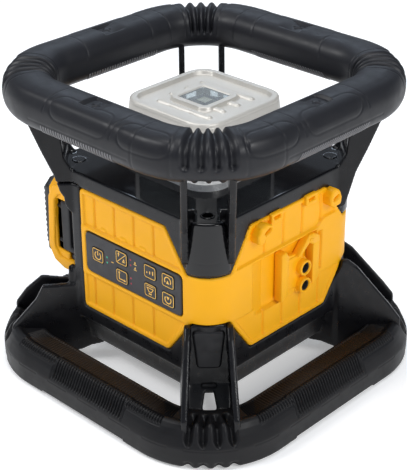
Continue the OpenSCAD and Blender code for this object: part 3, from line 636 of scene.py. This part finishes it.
BASE_SECTION = [
    (-2.0, 1.2), (-0.6, 1.6), (-0.2, 3.2), (-0.1, 9.0), (-0.2, 15.6), (-0.7, 17.2), (-1.6, 19.4),
    (-3.2, 23.0), (-5.4, 27.0), (-7.8, 30.0), (-9.6, 31.0), (-11.2, 31.0), (-12.8, 30.0),
    (-13.6, 29.3), (-15.0, 29.0), (-27.2, 29.0), (-28.9, 28.6), (-29.6, 27.4), (-29.6, 25.0),
    (-28.6, 23.4), (-27.2, 21.0), (-26.4, 12.0), (-25.6, 1.4), (-20.0, 1.2),
]


def ribs(q):
    """0 on the fine ribs, 1 between them."""
    return 0.5 - 0.5 * np.cos(2 * np.pi * q / GRIP_PITCH)


def base_ring_rise(section):
    x, z = section[:, 0], section[:, 1]
    slope = (x > -11.5) & (z > 17)
    crest = np.hypot(x + 10, z - 30)

    def rise(q, phi, j):
        sx, sz = x[j], z[j]
        # grooves over the corner between the post fins
        groove = rib_wave(phi, 8.8, 2)
        end = smoothstep(16.5, 20.5, sz - 3.5 * (1 - groove)) * smoothstep(-24, -20, sx)
        made = -4.2 * groove * end * (sx < -0.3)
        lower = groove * (1 - smoothstep(4, 7, sz)) * smoothstep(-9, -5, sx)
        made -= 2.2 * lower
        # ribbed grip pad on the slope
        pad = window(-31, 40, 0.8, q) * slope[j] * smoothstep(17.6, 19.6, sz)
        made += pad * (0.5 - 2.0 * ribs(q + 0.025 * (sz - 24) ** 2))
        made -= 0.7 * slope[j] * smoothstep(17.2, 19, sz) * (
            line(-32.2, 0.7, q) + line(41.2, 0.7, q))
        # finer band along the crest beyond the pad
        fine = (window(41.5, 74, 1, q) + window(-72, -33, 1, q)) * (1 - smoothstep(4.4, 5.4, crest[j]))
        made -= 1.6 * fine * ribs(q)
        edge = window(-72, 74, 1, q) * (1 - window(-33, 41.5, 1, q)) * slope[j]
        made -= 0.45 * edge * line(5.9, 0.5, crest[j])
        # fine ribs across the flat inner band
        flat = window(-27.0, -14.8, 0.6, sx) * (sz > 28) * window(-78, 78, 2, q)
        made -= 1.3 * flat * ribs(q)
        # dashed joint round the outside and lifted middles of the sides
        dash = line(15.3, 0.35, sz) * (sx > -2) * (np.sin(q / 5.1) > -0.4)
        made -= 0.4 * dash
        side_lift = window(-42, 42, 1.2, q) * (sz < 3.5)
        made -= 1.0 * side_lift * smoothstep(-27, -24, sx)
        return made

    return rise


def add_bottom_ring():
    section = resample(rounded(BASE_SECTION, 2.0, 5)[::1], 170)
    path = ring_path(BASE_HALF, BASE_R, 0.42)
    mesh = sweep("bottom_ring", path, section, 0.0, base_ring_rise(section))
    ring = add_object("bottom_ring", mesh, [LOW_RUBBER, INNER_BAND_WARM_REFLECTION])
    # the flat inner band's faces get the rubber with the yellow housing's reflection painted in as a
    # warm brown tint
    middle, normal = face_data(mesh)
    outward = np.maximum(np.abs(middle[:, 0]), np.abs(middle[:, 1]))
    from_corner = np.abs(np.abs(middle[:, 0]) - np.abs(middle[:, 1])) / math.sqrt(2)
    band = (middle[:, 2] > 27.8) & (middle[:, 2] < 29.6) & (outward < BASE_HALF - 14.5)
    band &= from_corner > 30
    mesh.polygons.foreach_set("material_index", band.astype(int))
    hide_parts("bottom_bumper")


# ---------- yellow panels ----------

BODY = 78.0
BODY_R = 23.0
NEAR = BODY - BODY_R
ARC = BODY_R * math.pi / 2
BAND_LOW, BAND_HIGH = 79.8, 117.3
PANEL_LOW, PANEL_HIGH = 51.5, 146
WAIST_LOW, WAIST_HIGH = 81, 116.5
STRIP_X = -46.0
# run round the body from the keypad face's middle to the middles of the next two faces
SIDE_0 = 2 * NEAR + ARC
REAR_0 = 4 * NEAR + 2 * ARC


def round_body(s, z, h):
    """Point at run s round the body from the keypad face's middle, height z, h outwards."""
    s, z, h = spread(s, z, h)
    first = np.clip((s - NEAR) / BODY_R, 0, math.pi / 2)
    second = np.clip((s - NEAR - ARC - 2 * NEAR) / BODY_R, 0, math.pi / 2)
    turn = first + second
    centre_x = np.where(s < NEAR, s, NEAR)
    centre_y = np.where(s < NEAR + ARC, -NEAR, np.clip(s - SIDE_0, -NEAR, NEAR))
    past = np.maximum(s - (3 * NEAR + 2 * ARC), 0)
    centre_x = centre_x - past
    out = np.stack([np.sin(turn), -np.cos(turn)], -1)
    xy = np.stack([centre_x, centre_y], -1) + out * (BODY_R + h)[..., None]
    return np.concatenate([xy, z[..., None]], -1)


def yellow_outline():
    """The panels' edge, which steps between the panels' and the waist's heights."""
    lower = (STRIP_X, 39.5, 61, SIDE_0 - 58, SIDE_0 - 37, SIDE_0 + 42, SIDE_0 + 62, REAR_0 - 61,
             REAR_0 - 39.5, REAR_0 + 46)
    upper = (REAR_0 + 46, REAR_0 - 38, REAR_0 - 57.5, SIDE_0 + 60, SIDE_0 + 40, SIDE_0 - 38,
             SIDE_0 - 56, 57.5, 38, STRIP_X)
    points = []
    for runs, panel, waist in ((lower, PANEL_LOW, WAIST_LOW), (upper, PANEL_HIGH, WAIST_HIGH)):
        points += zip(runs, 2 * (panel, panel, waist, waist) + (panel, panel))
    return rounded(points, 4.0, 7)


UPPER_GROOVES = (-32.2, -12.2, 7.0, 26.2)
LOWER_GROOVES = (-35.2, -16.2, 4.0, 24.6)
SIDE_GROOVES = (-23.0, -3.6, 16.0, 36.0)


def yellow_rise(s, z, d):
    y = s - SIDE_0
    band_top = BAND_HIGH + 5.4 * smoothstep(30, 41, y) * (y < NEAR + ARC)
    band = smoothstep(BAND_LOW - 1.2, BAND_LOW, z) * (1 - smoothstep(band_top, band_top + 1.2, z))
    border = 1 - smoothstep(3.0, 3.9, d)
    h = -1.1 + 1.7 * np.maximum(band, 0.78 * border)
    groove = np.zeros_like(h)
    upper, lower = z > band_top + 1.5, z < BAND_LOW - 1.5
    for at in UPPER_GROOVES:
        groove += upper * (line(at, 0.75, s) + line(REAR_0 - at, 0.75, s))
    for at in LOWER_GROOVES:
        groove += lower * (line(at, 0.75, s) + line(REAR_0 - at, 0.75, s))
    for at in SIDE_GROOVES:
        groove += 1.3 * (upper | lower) * line(at, 0.8, y)
    h -= 1.5 * np.clip(groove, 0, 1.3) * (d > 3.4)
    for at in UPPER_GROOVES[:3]:
        for run in (s, REAR_0 - s):
            h += 0.55 * window(at + 6.2, at + 11.0, 0.4, run) * window(117.5, 121.2, 0.4, z)
    h -= 0.35 * line(119.0, 0.45, z) * (d > 3.4) * (np.abs(y) > NEAR + 5)
    # recess round the accessory rack, with a long sloping side
    slope = 0.6 - 5.0 * np.clip((y + 37) / 15, 0, 1)
    tall = window(73.5, 115.6, 0.6, z) * (y > -37) * (1 - smoothstep(30.0, 30.6, y))
    tall = tall * (1 - window(-2, 16, 0.6, y) * (z < 104))
    slot = window(32.4, 36.2, 0.4, y) * window(84.0, 113.6, 0.5, z)
    h = h * (1 - tall) + np.minimum(h, slope) * tall
    h = h * (1 - slot) - 4.6 * slot
    return h - edge_round(d, 1.1)


def add_yellow_shell():
    keypad_hole = np.array(box_outline(-41.4, 82.8, 54.2, 115.2), float)
    thread = np.array(circle(REAR_0, 98, 14.2, 40))
    mesh = plate_mesh("yellow_shell", yellow_outline(), 0.62, yellow_rise, round_body,
                      depth=5.0, holes=[rounded(keypad_hole, 4.5), thread])
    shell = add_object("yellow_shell", mesh, [YELLOW])
    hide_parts("main_housing")


def side_face(y, z, h):
    """Point on the accessory face."""
    y, z, h = spread(y, z, h)
    return np.stack([BODY + h, y, z], -1)


def front_face(x, z, h):
    """Point on the keypad face."""
    x, z, h = spread(x, z, h)
    return np.stack([x, -BODY - h, z], -1)


BOSSES = ((14.7, 93.9), (14.7, 79.9))
BOSS_R, BORE_R = 5.9, 3.95


def add_accessory_rack():
    parts = []

    def slab(outline, low, high, bevel):
        parts.append(prism_mesh("slab", outline, low, high, side_face, bevel))

    # low plate under the bosses
    slab([(-2, 74), (16, 76), (16, 102), (10.5, 104.8), (3, 106.4), (-2, 108)], -3.8, -0.1, 0.5)
    # left rail
    slab([(-9.2, 75), (-2, 78.2), (-2, 108.5), (-4.2, 113.4), (-9.2, 112.6)], -3.8, 3.6, 0.9)
    # arm that rises beside the notch, and the pillar on the right
    slab([(8.5, 103.8), (12.5, 103.8), (20.5, 110.5), (25, 107.5), (31.6, 107.5), (31.6, 112.6),
          (25, 116.8), (20, 116.6)], -3.8, 3.0, 0.8)
    slab([(24.6, 77), (31.6, 79), (31.6, 109), (24.6, 109)], -3.8, 3.0, 0.7)
    slab([(20.5, 112.2), (24.5, 111.2), (24.5, 112.8), (20.5, 113.8)], 2.6, 3.5, 0.3)
    # bosses
    for y, z in BOSSES:
        parts.append(plate_mesh("rim", np.array(circle(y, z, BOSS_R, 40)), 0.4,
                                lambda a, b, d: 5.4 - edge_round(d, 0.9), side_face, depth=3.0,
                                holes=[np.array(circle(y, z, BORE_R, 32))]))
        parts.append(prism_mesh("root", circle(y, z, 7.0, 36), -1.0, 0.7, side_face, 0.8))
    rack = join("accessory_rack", parts, [YELLOW])
    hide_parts("accessory_plate")

    parts = []
    for y, z in BOSSES:
        outer = np.array(circle(y, z, BORE_R, 30))
        parts.append(plate_mesh("sleeve", outer, 0.4, lambda a, b, d: 4.4 - edge_round(d, 0.3),
                                side_face, depth=4.6, holes=[np.array(circle(y, z, 3.0, 26))]))
        parts.append(prism_mesh("end", circle(y, z, 3.8, 30), 1.0, 1.6, side_face, 0.2))
    bores = join("accessory_bores", parts, [HOLE])
    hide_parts("accessory_inserts")

    parts = []
    # hooks at the upper corners: a rounded ear with a slot
    ears = (
        ([(-36.4, 132.0), (-31.0, 130.8), (-29.4, 134.6), (-22.4, 137.0), (-20.8, 139.6),
          (-22.6, 142.4), (-28.4, 145.2), (-33.6, 143.8), (-36.8, 138.6)],
         (-28.8, 138.4, -25.2, 139.8)),
        ([(38.4, 133.6), (41.6, 131.0), (49.6, 131.4), (50.6, 136.8), (48.2, 142.6),
          (43.6, 145.6), (39.8, 144.0), (38.0, 139.4)], (42.6, 137.2, 46.2, 138.8)),
    )
    for points, (y0, z0, y1, z1) in ears:
        ear = rounded(points, 2.6, 5)
        slot = np.array(stadium(y0, z0, y1, z1, 1.15))
        parts.append(plate_mesh("ear", ear, 0.45, lambda a, b, d: 6.4 - edge_round(d, 1.5),
                                side_face, depth=1.6, holes=[slot]))
    # strap loops on the top edge
    for y, z in ((-13.8, 143.2), (22.0, 143.6)):
        loop = rounded(box_outline(y - 6, z - 3.6, y + 6, z + 4.2), 1.6, 4)
        eye = np.array(box_outline(y - 3.2, z - 0.6, y + 3.2, z + 1.8), float)
        parts.append(plate_mesh("loop", loop, 0.5, lambda a, b, d: 2.6 - edge_round(d, 0.8),
                                side_face, depth=2.0, holes=[eye]))
    hooks = join("accessory_hooks", parts, [YELLOW])


# ---------- keypad ----------

KEY_BODIES = {
    "power": "power_key", "slope": "slope_key", "axis": "axis_key", "speed": "speed_key",
    "scan": "scan_key", "clockwise": "clockwise_key", "counter": "counterclockwise_key",
}


def stroke(points, width, low, high, closed=False):
    """A thin raised line through points on the keypad face."""
    pts = np.asarray(points, float)
    ahead, behind = np.roll(pts, -1, 0) - pts, pts - np.roll(pts, 1, 0)
    if not closed:
        ahead[-1], behind[0] = behind[-1], ahead[0]
    ahead /= np.linalg.norm(ahead, axis=1)[:, None]
    behind /= np.linalg.norm(behind, axis=1)[:, None]
    along = ahead + behind
    along /= np.maximum(np.linalg.norm(along, axis=1), 0.3)[:, None]
    side = np.stack([-along[:, 1], along[:, 0]], -1)
    stretch = 1 / np.maximum((along * ahead).sum(1), 0.5)
    side *= (stretch * width / 2)[:, None]
    count = len(pts)
    rows = [front_face(*(pts + side).T, high), front_face(*(pts - side).T, high),
            front_face(*(pts - side).T, low), front_face(*(pts + side).T, low)]
    faces = []
    for i in range(count if closed else count - 1):
        j = (i + 1) % count
        for r in range(4):
            n = (r + 1) % 4
            faces.append((r * count + i, n * count + i, n * count + j, r * count + j))
    if not closed:
        faces += [(0, 3 * count, 2 * count, count),
                  (count - 1, 2 * count - 1, 3 * count - 1, 4 * count - 1)]
    return mesh_from("stroke", np.concatenate(rows), faces, smooth=False)


def arc(x, z, r, start, end):
    return [(x + r * math.cos(t * DEG), z + r * math.sin(t * DEG))
            for t in np.linspace(start, end, 14)]


def arrow_head(x, z, angle, size, low, high):
    tip = [(x + size * math.cos((angle + a) * DEG), z + size * math.sin((angle + a) * DEG))
           for a in (0, 125, 235)]
    return prism_mesh("tip", tip, low, high, front_face)


def key_symbol(kind, x, z, low, high):
    """Generic sign for a key, as thin raised lines."""

    def draw(points, closed=False, width=0.75):
        return stroke(points, width, low, high, closed)

    if kind == "power":
        return [draw(arc(x, z - 0.2, 3.0, 125, 415)), draw([(x, z), (x, z + 3.6)])]
    if kind == "slope":
        return [draw([(x - 4.6, z - 4.2), (x + 4.6, z + 4.2)], width=0.5),
                draw([(x - 2.6, z + 0.8), (x - 2.6, z + 2.6)]),
                arrow_head(x - 2.6, z + 3.0, 90, 1.2, low, high),
                draw([(x + 1.0, z - 2.2), (x + 3.4, z - 2.2)]),
                arrow_head(x + 2.4, z - 0.8, 90, 1.1, low, high)]
    if kind == "axis":
        return [draw([(x - 2.6, z + 2.2), (x - 2.6, z - 2.4), (x + 2.2, z - 2.4)]),
                arrow_head(x - 2.6, z + 2.8, 90, 1.3, low, high),
                arrow_head(x + 2.8, z - 2.4, 0, 1.3, low, high)]
    if kind == "speed":
        return [draw([(x - 2.8 + 2.8 * n, z - 1.4), (x - 2.8 + 2.8 * n, z - 0.2 + 0.9 * n)],
                     width=0.9) for n in range(3)]
    if kind == "scan":
        return [draw([(x - 3.0, z + 1.8), (x + 3.0, z + 1.8), (x + 1.2, z - 1.0),
                      (x - 1.2, z - 1.0)], closed=True, width=0.6),
                draw([(x - 1.4, z - 2.6), (x + 1.4, z - 2.6)], width=0.9),
                draw([(x - 3.4, z + 3.4), (x + 3.4, z + 3.4)], width=0.45)]
    if kind == "clockwise":
        return [draw(arc(x, z, 2.9, 215, -35)), arrow_head(x, z - 1.2, 90, 1.7, low, high)]
    return [draw(arc(x, z, 2.9, 145, 395)), arrow_head(x, z + 1.2, 270, 1.7, low, high)]


def add_keypad():
    low, high = (np.array(v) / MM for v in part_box("keypad_overlay"))
    face = -low[1] - BODY
    holes, middles = [], {}
    for kind, body in KEY_BODIES.items():
        k_low, k_high = (np.array(v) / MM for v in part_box(body))
        middles[kind] = ((k_low[0] + k_high[0]) / 2, (k_low[2] + k_high[2]) / 2)

        def grown(by, low=k_low, high=k_high):
            return box_outline(low[0] - by, low[2] - by, high[0] + by, high[2] + by)

        holes.append(rounded(grown(0.25), 1.9, 5))
        top = -k_low[1] - BODY
        cap = plate_mesh("cap", rounded(grown(0), 1.8, 6), 0.35,
                         lambda a, b, d: top - 0.12 - edge_round(d, 0.25) - 0.05 * line(1, 0.5, d),
                         front_face, depth=0.2)
        marks = [stroke(rounded(grown(-0.4), 1.7, 6), 0.42, top - 0.4, top - 0.02, closed=True)]
        marks += key_symbol(kind, *middles[kind], top - 0.4, top - 0.02)
        key = join(body + "_cap", [cap] + marks, [KEYPAD, LEGEND], body, [0] + [1] * len(marks))
        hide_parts(body)
    outline = rounded(box_outline(low[0], low[2], high[0], high[2]), 3.6, 7)
    film = plate_mesh("film", outline, 0.5, lambda a, b, d: face - edge_round(d, 0.5), front_face,
                      depth=0.6, holes=holes)
    marks = [stroke([(-14.6, 99.6), (-12.4, 99.6)], 0.6, face - 0.3, face + 0.03)]
    for x, z in ((9.0, 108.0), (9.0, 103.8)):
        marks.append(arrow_head(x + 0.6, z, 90, 1.1, face - 0.3, face + 0.03))
        marks.append(stroke([(x - 0.8, z - 1.5), (x + 2.0, z - 1.5)], 0.5, face - 0.3, face + 0.03))
    membrane = join("keypad_membrane", [film] + marks, [KEYPAD, LEGEND],
                    indices=[0] + [1] * len(marks))
    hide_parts("keypad_overlay")
    for name, mat, spots in (
        ("green_lights", GREEN_LED, [(-18.9, 101.6), (-18.9, 97.4)]),
        ("red_lights", RED_LED, [(5, 108.7), (5, 104.5), (5, 94.2), (5, 90)]),
    ):
        domes = [plate_mesh("dome", np.array(circle(x, z, 0.85, 20)), 0.2,
                            lambda a, b, d: face - 0.1 + 0.28 * np.sqrt(np.clip(d / 0.85, 0, 1)),
                            front_face, depth=-face + 2.0) for x, z in spots]
        lights = join(name, domes, [mat])
    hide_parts("status_leds")


# ---------- head ----------

CAP_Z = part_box("head_cap")[1][2] / MM
CAP_HALF = 41.0
CAP_RIBS = [
    ((-19.0, -23.6), (25.6, -22.4), 2.4), ((15.0, -8.6), (24.8, -8.2), 2.3),
    ((15.0, 5.8), (24.8, 6.2), 2.3), ((-20.6, 20.2), (24.4, 20.8), 2.3),
    ((-21.4, 5.6), (-15.0, 5.8), 2.3), ((-21.4, -9.4), (-15.0, -9.2), 2.3),
]


def level_face(x, y, h):
    x, y, h = spread(x, y, h)
    return np.stack([x, y, CAP_Z + h], -1)


def capsule_distance(x, y, a, b):
    a, b = np.array(a), np.array(b)
    edge = b - a
    t = np.clip(((x - a[0]) * edge[0] + (y - a[1]) * edge[1]) / (edge @ edge), 0, 1)
    return np.hypot(x - a[0] - t * edge[0], y - a[1] - t * edge[1])


def add_head_cap():
    def square(half, r):
        return rounded(box_outline(-half, -half, half, half), r * 1.3, 12)

    def rise(x, y, d):
        floor = smoothstep(5.2, 6.2, d)
        h = -0.2 - 2.7 * floor
        away = np.hypot(np.maximum(np.abs(x) - 11.7, 0), np.maximum(np.abs(y) - 11.7, 0))
        h = np.maximum(h, -2.9 + 2.8 * np.sqrt(np.clip(1 - ((away - 2.0) / 1.9) ** 2, 0, 1)))
        for a, b, r in CAP_RIBS:
            reach = capsule_distance(x, y, a, b)
            h = np.maximum(h, -2.9 + 1.7 * np.sqrt(np.clip(1 - (reach / r) ** 2, 0, 1)) * floor)
        return h - edge_round(np.minimum(d, 60), 1.8) * (d < 4)

    opening = rounded(box_outline(-12.5, -12.5, 12.5, 12.5), 1.5, 4)
    top = plate_mesh("top", square(CAP_HALF, 14), 0.5, rise, level_face, depth=3.0,
                     holes=[opening])
    section = [(-0.4, -2.4), (0.5, -3.4), (1.2, -6.5), (1.7, -9.8), (1.5, -11.2), (0.4, -11.5),
                     (-1.8, -11.5), (-2.4, -10), (-2.6, -4), (-2.2, -2.6)]
    path = ring_path(CAP_HALF - 0.6, 14.0, 1.2)
    section = resample(np.array(section)[::-1] * [0.7, 1.0], 60)
    skirt = sweep("skirt", path, section, CAP_Z, lambda q, phi, j: 0 * q * phi * j)
    cap = join("head_cap_cast", [top, skirt], [ALUMINIUM])
    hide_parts("head_cap")
    facets = []
    for outline in ([(-9, -9), (9, -9), (3.5, -3), (-5, -3)], [(9, -9), (9, 9), (3.5, 5), (3.5, -3)],
                    [(9, 9), (-9, 9), (-5, 5), (3.5, 5)], [(-9, 9), (-9, -9), (-5, -3), (-5, 5)],
                    [(-5, -3), (3.5, -3), (3.5, 5), (-5, 5)]):
        facets.append(prism_mesh("facet", outline, -5.6, -5.0, level_face, 0.15, 1))
    prism = join("prism_facets", facets, [NAVY, SATIN, CREAM], "rotor", [0, 1, 0, 1, 2])


# ---------- frames ----------


FRONT_AND_BACK = (1, 3)
PLAIN_CORNERS = (0, 1, 3)    # corner 2 meets the battery bay
CORNER_CENTRE = 77.78        # of the body's corner arc, along the diagonal
DECK_Z = 157.0
POCKET_U = 88.5              # the screw pockets' distance from the axis


def corner_frames(wanted):
    """Number of each wanted corner, with unit vectors outwards along its diagonal and aside."""
    for k in wanted:
        turn = (45 + 90 * k) * DEG
        yield (k, np.array([math.cos(turn), math.sin(turn), 0]),
               np.array([-math.sin(turn), math.cos(turn), 0]))


def on_corner(out, side, reach):
    """Placement (v aside, z up, h outwards) where reach(v, z) is the distance from the axis."""
    def place(v, z, h):
        v, z, h = spread(v, z, h)
        return (reach(v, z) + h)[..., None] * out + v[..., None] * side + z[..., None] * UP

    return place


def tongue_half(z):
    return np.interp(z, [117, 130, 157], [15.4, 14.4, 11.0])


def carve_corners(mesh):
    """Sinks the troughs beside the front and back corners' centre strip and tongue."""
    co = read_points(mesh)
    for _, out, side in corner_frames(FRONT_AND_BACK):
        u, v, z = co @ out, np.abs(co @ side), co[:, 2]
        down = window(8.6, 12.3, 0.7, v) * window(82, 104, 1.5, u) * (z > 153)
        lean = window(0, 12.8, 0.4, v) * smoothstep(tongue_half(z), tongue_half(z) + 0.7, v)
        inward = lean * smoothstep(131, 135, z) * smoothstep(93, 95, u) * (u < 103)
        co[:, 2] -= 7.0 * down
        co -= (4.0 * inward)[:, None] * out
    write_points(mesh, co)


def lean_fins(mesh):
    """Draws the lower fins together at their tops and apart towards the ring."""
    co = read_points(mesh)
    for _, out, side in corner_frames(PLAIN_CORNERS):
        u, v, z = co @ out, co @ side, co[:, 2]
        mine = smoothstep(92.5, 97.5, u) * (np.abs(v) < 21) * (np.abs(v) > 0.1) * (z < 83)
        apart = np.interp(z, [22, 32, 81], [2.2, 2.2, -1.0])
        grow = apart * mine * np.clip(np.abs(v) / 14, 0, 1) * np.sign(v)
        co += grow[:, None] * side
    write_points(mesh, co)


def add_tongues():
    """The raised panel on each corner between the upper fins."""
    outline = rounded([(-15.6, 118.4), (15.6, 118.4), (14.6, 130), (11.0, 157.2),
                       (-11.0, 157.2), (-14.6, 130)], 4.0, 7)

    def reach(v, z):
        return CORNER_CENTRE + np.sqrt(np.maximum(BODY_R ** 2 - v ** 2, 0))

    def rise(v, z, d):
        mark = line(48.0, 0.35, np.hypot(v, z - 176.0)) * (np.abs(v) < 8)
        return 1.3 - edge_round(d, 1.3) - 0.35 * mark

    for k, out, side in corner_frames(PLAIN_CORNERS):
        name = "corner_tongue_%d" % k
        mesh = plate_mesh(name, outline, 0.6, rise, on_corner(out, side, reach), depth=2.0)
        add_object(name, mesh, [GLOSS])


def add_deck_plugs():
    """Flush caps over the side corners' screw pockets, raised rims round the others."""
    for k, out, side in corner_frames(range(4)):
        def deck(u, v, h, out=out, side=side):
            u, v, h = spread(u, v, h)
            return u[..., None] * out + v[..., None] * side + (DECK_Z + h)[..., None] * UP

        bore = [np.array(circle(POCKET_U, 0, 3.7, 30))] if k in FRONT_AND_BACK else []
        mesh = plate_mesh("deck_plug_%d" % k, np.array(circle(POCKET_U, 0, 5.0, 40)), 0.4,
                          lambda u, v, d: 0.5 - edge_round(d, 0.6), deck, depth=2.0, holes=bore)
        add_object("deck_plug_%d" % k, mesh, [GLOSS])


def add_web_panels():
    """The rounded panel between the lower fins, and the lip under it."""
    panel = rounded([(-8.2, 48.5), (8.2, 48.5), (11.4, 76.4), (-11.4, 76.4)], 3.4, 6)
    lip = rounded([(-5.4, 31.8), (5.4, 31.8), (5.4, 37.6), (-5.4, 37.6)], 1.5, 4)

    def reach(v, z):
        return np.interp(z, [36, 60, 79], [104, 99.6, 99.2])

    for k, out, side in corner_frames(PLAIN_CORNERS):
        web = on_corner(out, side, reach)
        for name, outline, step, high, soft in (("web_panel_%d" % k, panel, 0.6, 2.0, 1.6),
                                                ("drain_lip_%d" % k, lip, 0.5, 2.2, 0.8)):
            mesh = plate_mesh(name, outline, step, lambda a, b, d: high - edge_round(d, soft),
                              web, depth=0.6)
            add_object(name, mesh, [SATIN])


PACK_CORNER_X, PACK_CORNER_Z, PACK_CORNER_R = -79.0, 24.0, 11.5
PACK_MID_Z = 102.0
PACK_END_Y = -70.0
SCALLOP_X, SCALLOP_PITCH = -100.2, 4.4


def round_pack(mesh):
    """Rounds the pack's outer corners and scallops its outermost face."""
    co = read_points(mesh)
    high = co[:, 2] - PACK_MID_Z
    dx = np.minimum(co[:, 0] - PACK_CORNER_X, 0)
    dz = np.sign(high) * np.maximum(np.abs(high) - PACK_CORNER_Z, 0)
    reach = np.hypot(dx * 0.55, dz)
    shrink = np.where(np.abs(dz) > 0, PACK_CORNER_R / np.maximum(reach, PACK_CORNER_R), 1)
    co[:, 0] += dx * (shrink - 1)
    co[:, 2] += dz * (shrink - 1)
    wave = 1 - np.cos(2 * np.pi * co[:, 2] / SCALLOP_PITCH)
    co[:, 0] += (co[:, 0] < SCALLOP_X) * 0.45 * wave
    write_points(mesh, co)


def pack_end(x, z, h):
    x, z, h = spread(x, z, h)
    return np.stack([x, PACK_END_Y - h, z], -1)


def add_pack_face():
    """The coloured band's end face, a rounded C open towards the body."""
    outline = rounded([(-62.8, 67.2), (-76, 67.2), (-86.5, 71), (-92.3, 81), (-89.8, 123),
                       (-84, 133), (-75, 136.8), (-62.8, 136.8), (-62.8, 127.6), (-77, 127.6),
                       (-82.4, 122), (-84.8, 83), (-79, 76.4), (-62.8, 76.4)], 4.5, 6)
    mesh = plate_mesh("pack_band_face", outline, 0.5, lambda x, z, d: 1.4 - edge_round(d, 1.8),
                      pack_end, depth=2.5)
    add_object("pack_band_face", mesh, [YELLOW], "battery_pack")


# ---------- the pieces, in order ----------

add_camera()
add_studio()
add_top_ring()
add_bottom_ring()
add_yellow_shell()
add_accessory_rack()
add_keypad()
add_head_cap()
upper = softened("upper_frame", "top_housing", 0.8, 9, [BLACK, GLOSS])
carve_corners(upper.data)
middle, normal = face_data(upper.data)
deck = (middle[:, 2] > 155.5) & (middle[:, 2] < 158.5) & (normal[:, 2] > 0.2)
upper.data.polygons.foreach_set("material_index", deck.astype(int))
lower = softened("lower_frame", "base_housing", 0.8, 14, [BLACK])
lean_fins(lower.data)
add_tongues()
add_deck_plugs()
add_web_panels()
for name, cad_name, mat, body in (
    ("pack_band_shell", "pack_band", YELLOW, "battery_pack"),
    ("pack_base_shell", "pack_base_case", SATIN, "battery_pack"),
    ("pack_lid_shell", "pack_top_case", BLACK, "battery_pack"),
    ("latch_plate", "latch_button", SATIN, "latch_button"),
):
    shell = softened(name, cad_name, 0.6, 28, [mat], body)
    round_pack(shell.data)
add_pack_face()

# ---------- finishes of the CAD nodes ----------

FINISHES = {
    "bumper_rubber": RUBBER, "charcoal_plastic": BLACK, "yellow_plastic": YELLOW,
    "keypad_plastic": KEYPAD, "head_aluminium": ALUMINIUM, "frame_aluminium": GREY_METAL,
    "black_anodised": DARK_METAL, "window_glass": GLASS, "steel": STEEL, "brass": BRASS,
    "contact_brass": BRASS, "board_green": BOARD, "led_lens": GREEN_LED, "white_plastic": WHITE,
    "belt_rubber": BELT, "cell_wrap": WRAP,
}
for part in frame["record"]["subparts"]:
    cad = frame["nodes"][part["node"]]
    cad.data.materials.clear()
    dark = part["node"] in ("latch_spring", "housing_screws")
    finish = DARK_METAL if dark else FINISHES[part["material_slot"]]
    # the head base gets the aluminium with painted light in place of the shade under the ring
    cad.data.materials.append(FLANGE_PAINTED_LIGHT if part["node"] == "head_base" else finish)

bpy.ops.mesh.primitive_plane_add(size=12, location=(0, 0, -0.0003))
floor = bpy.context.object
floor.name = "floor"
floor.data.materials.append(FLOOR)
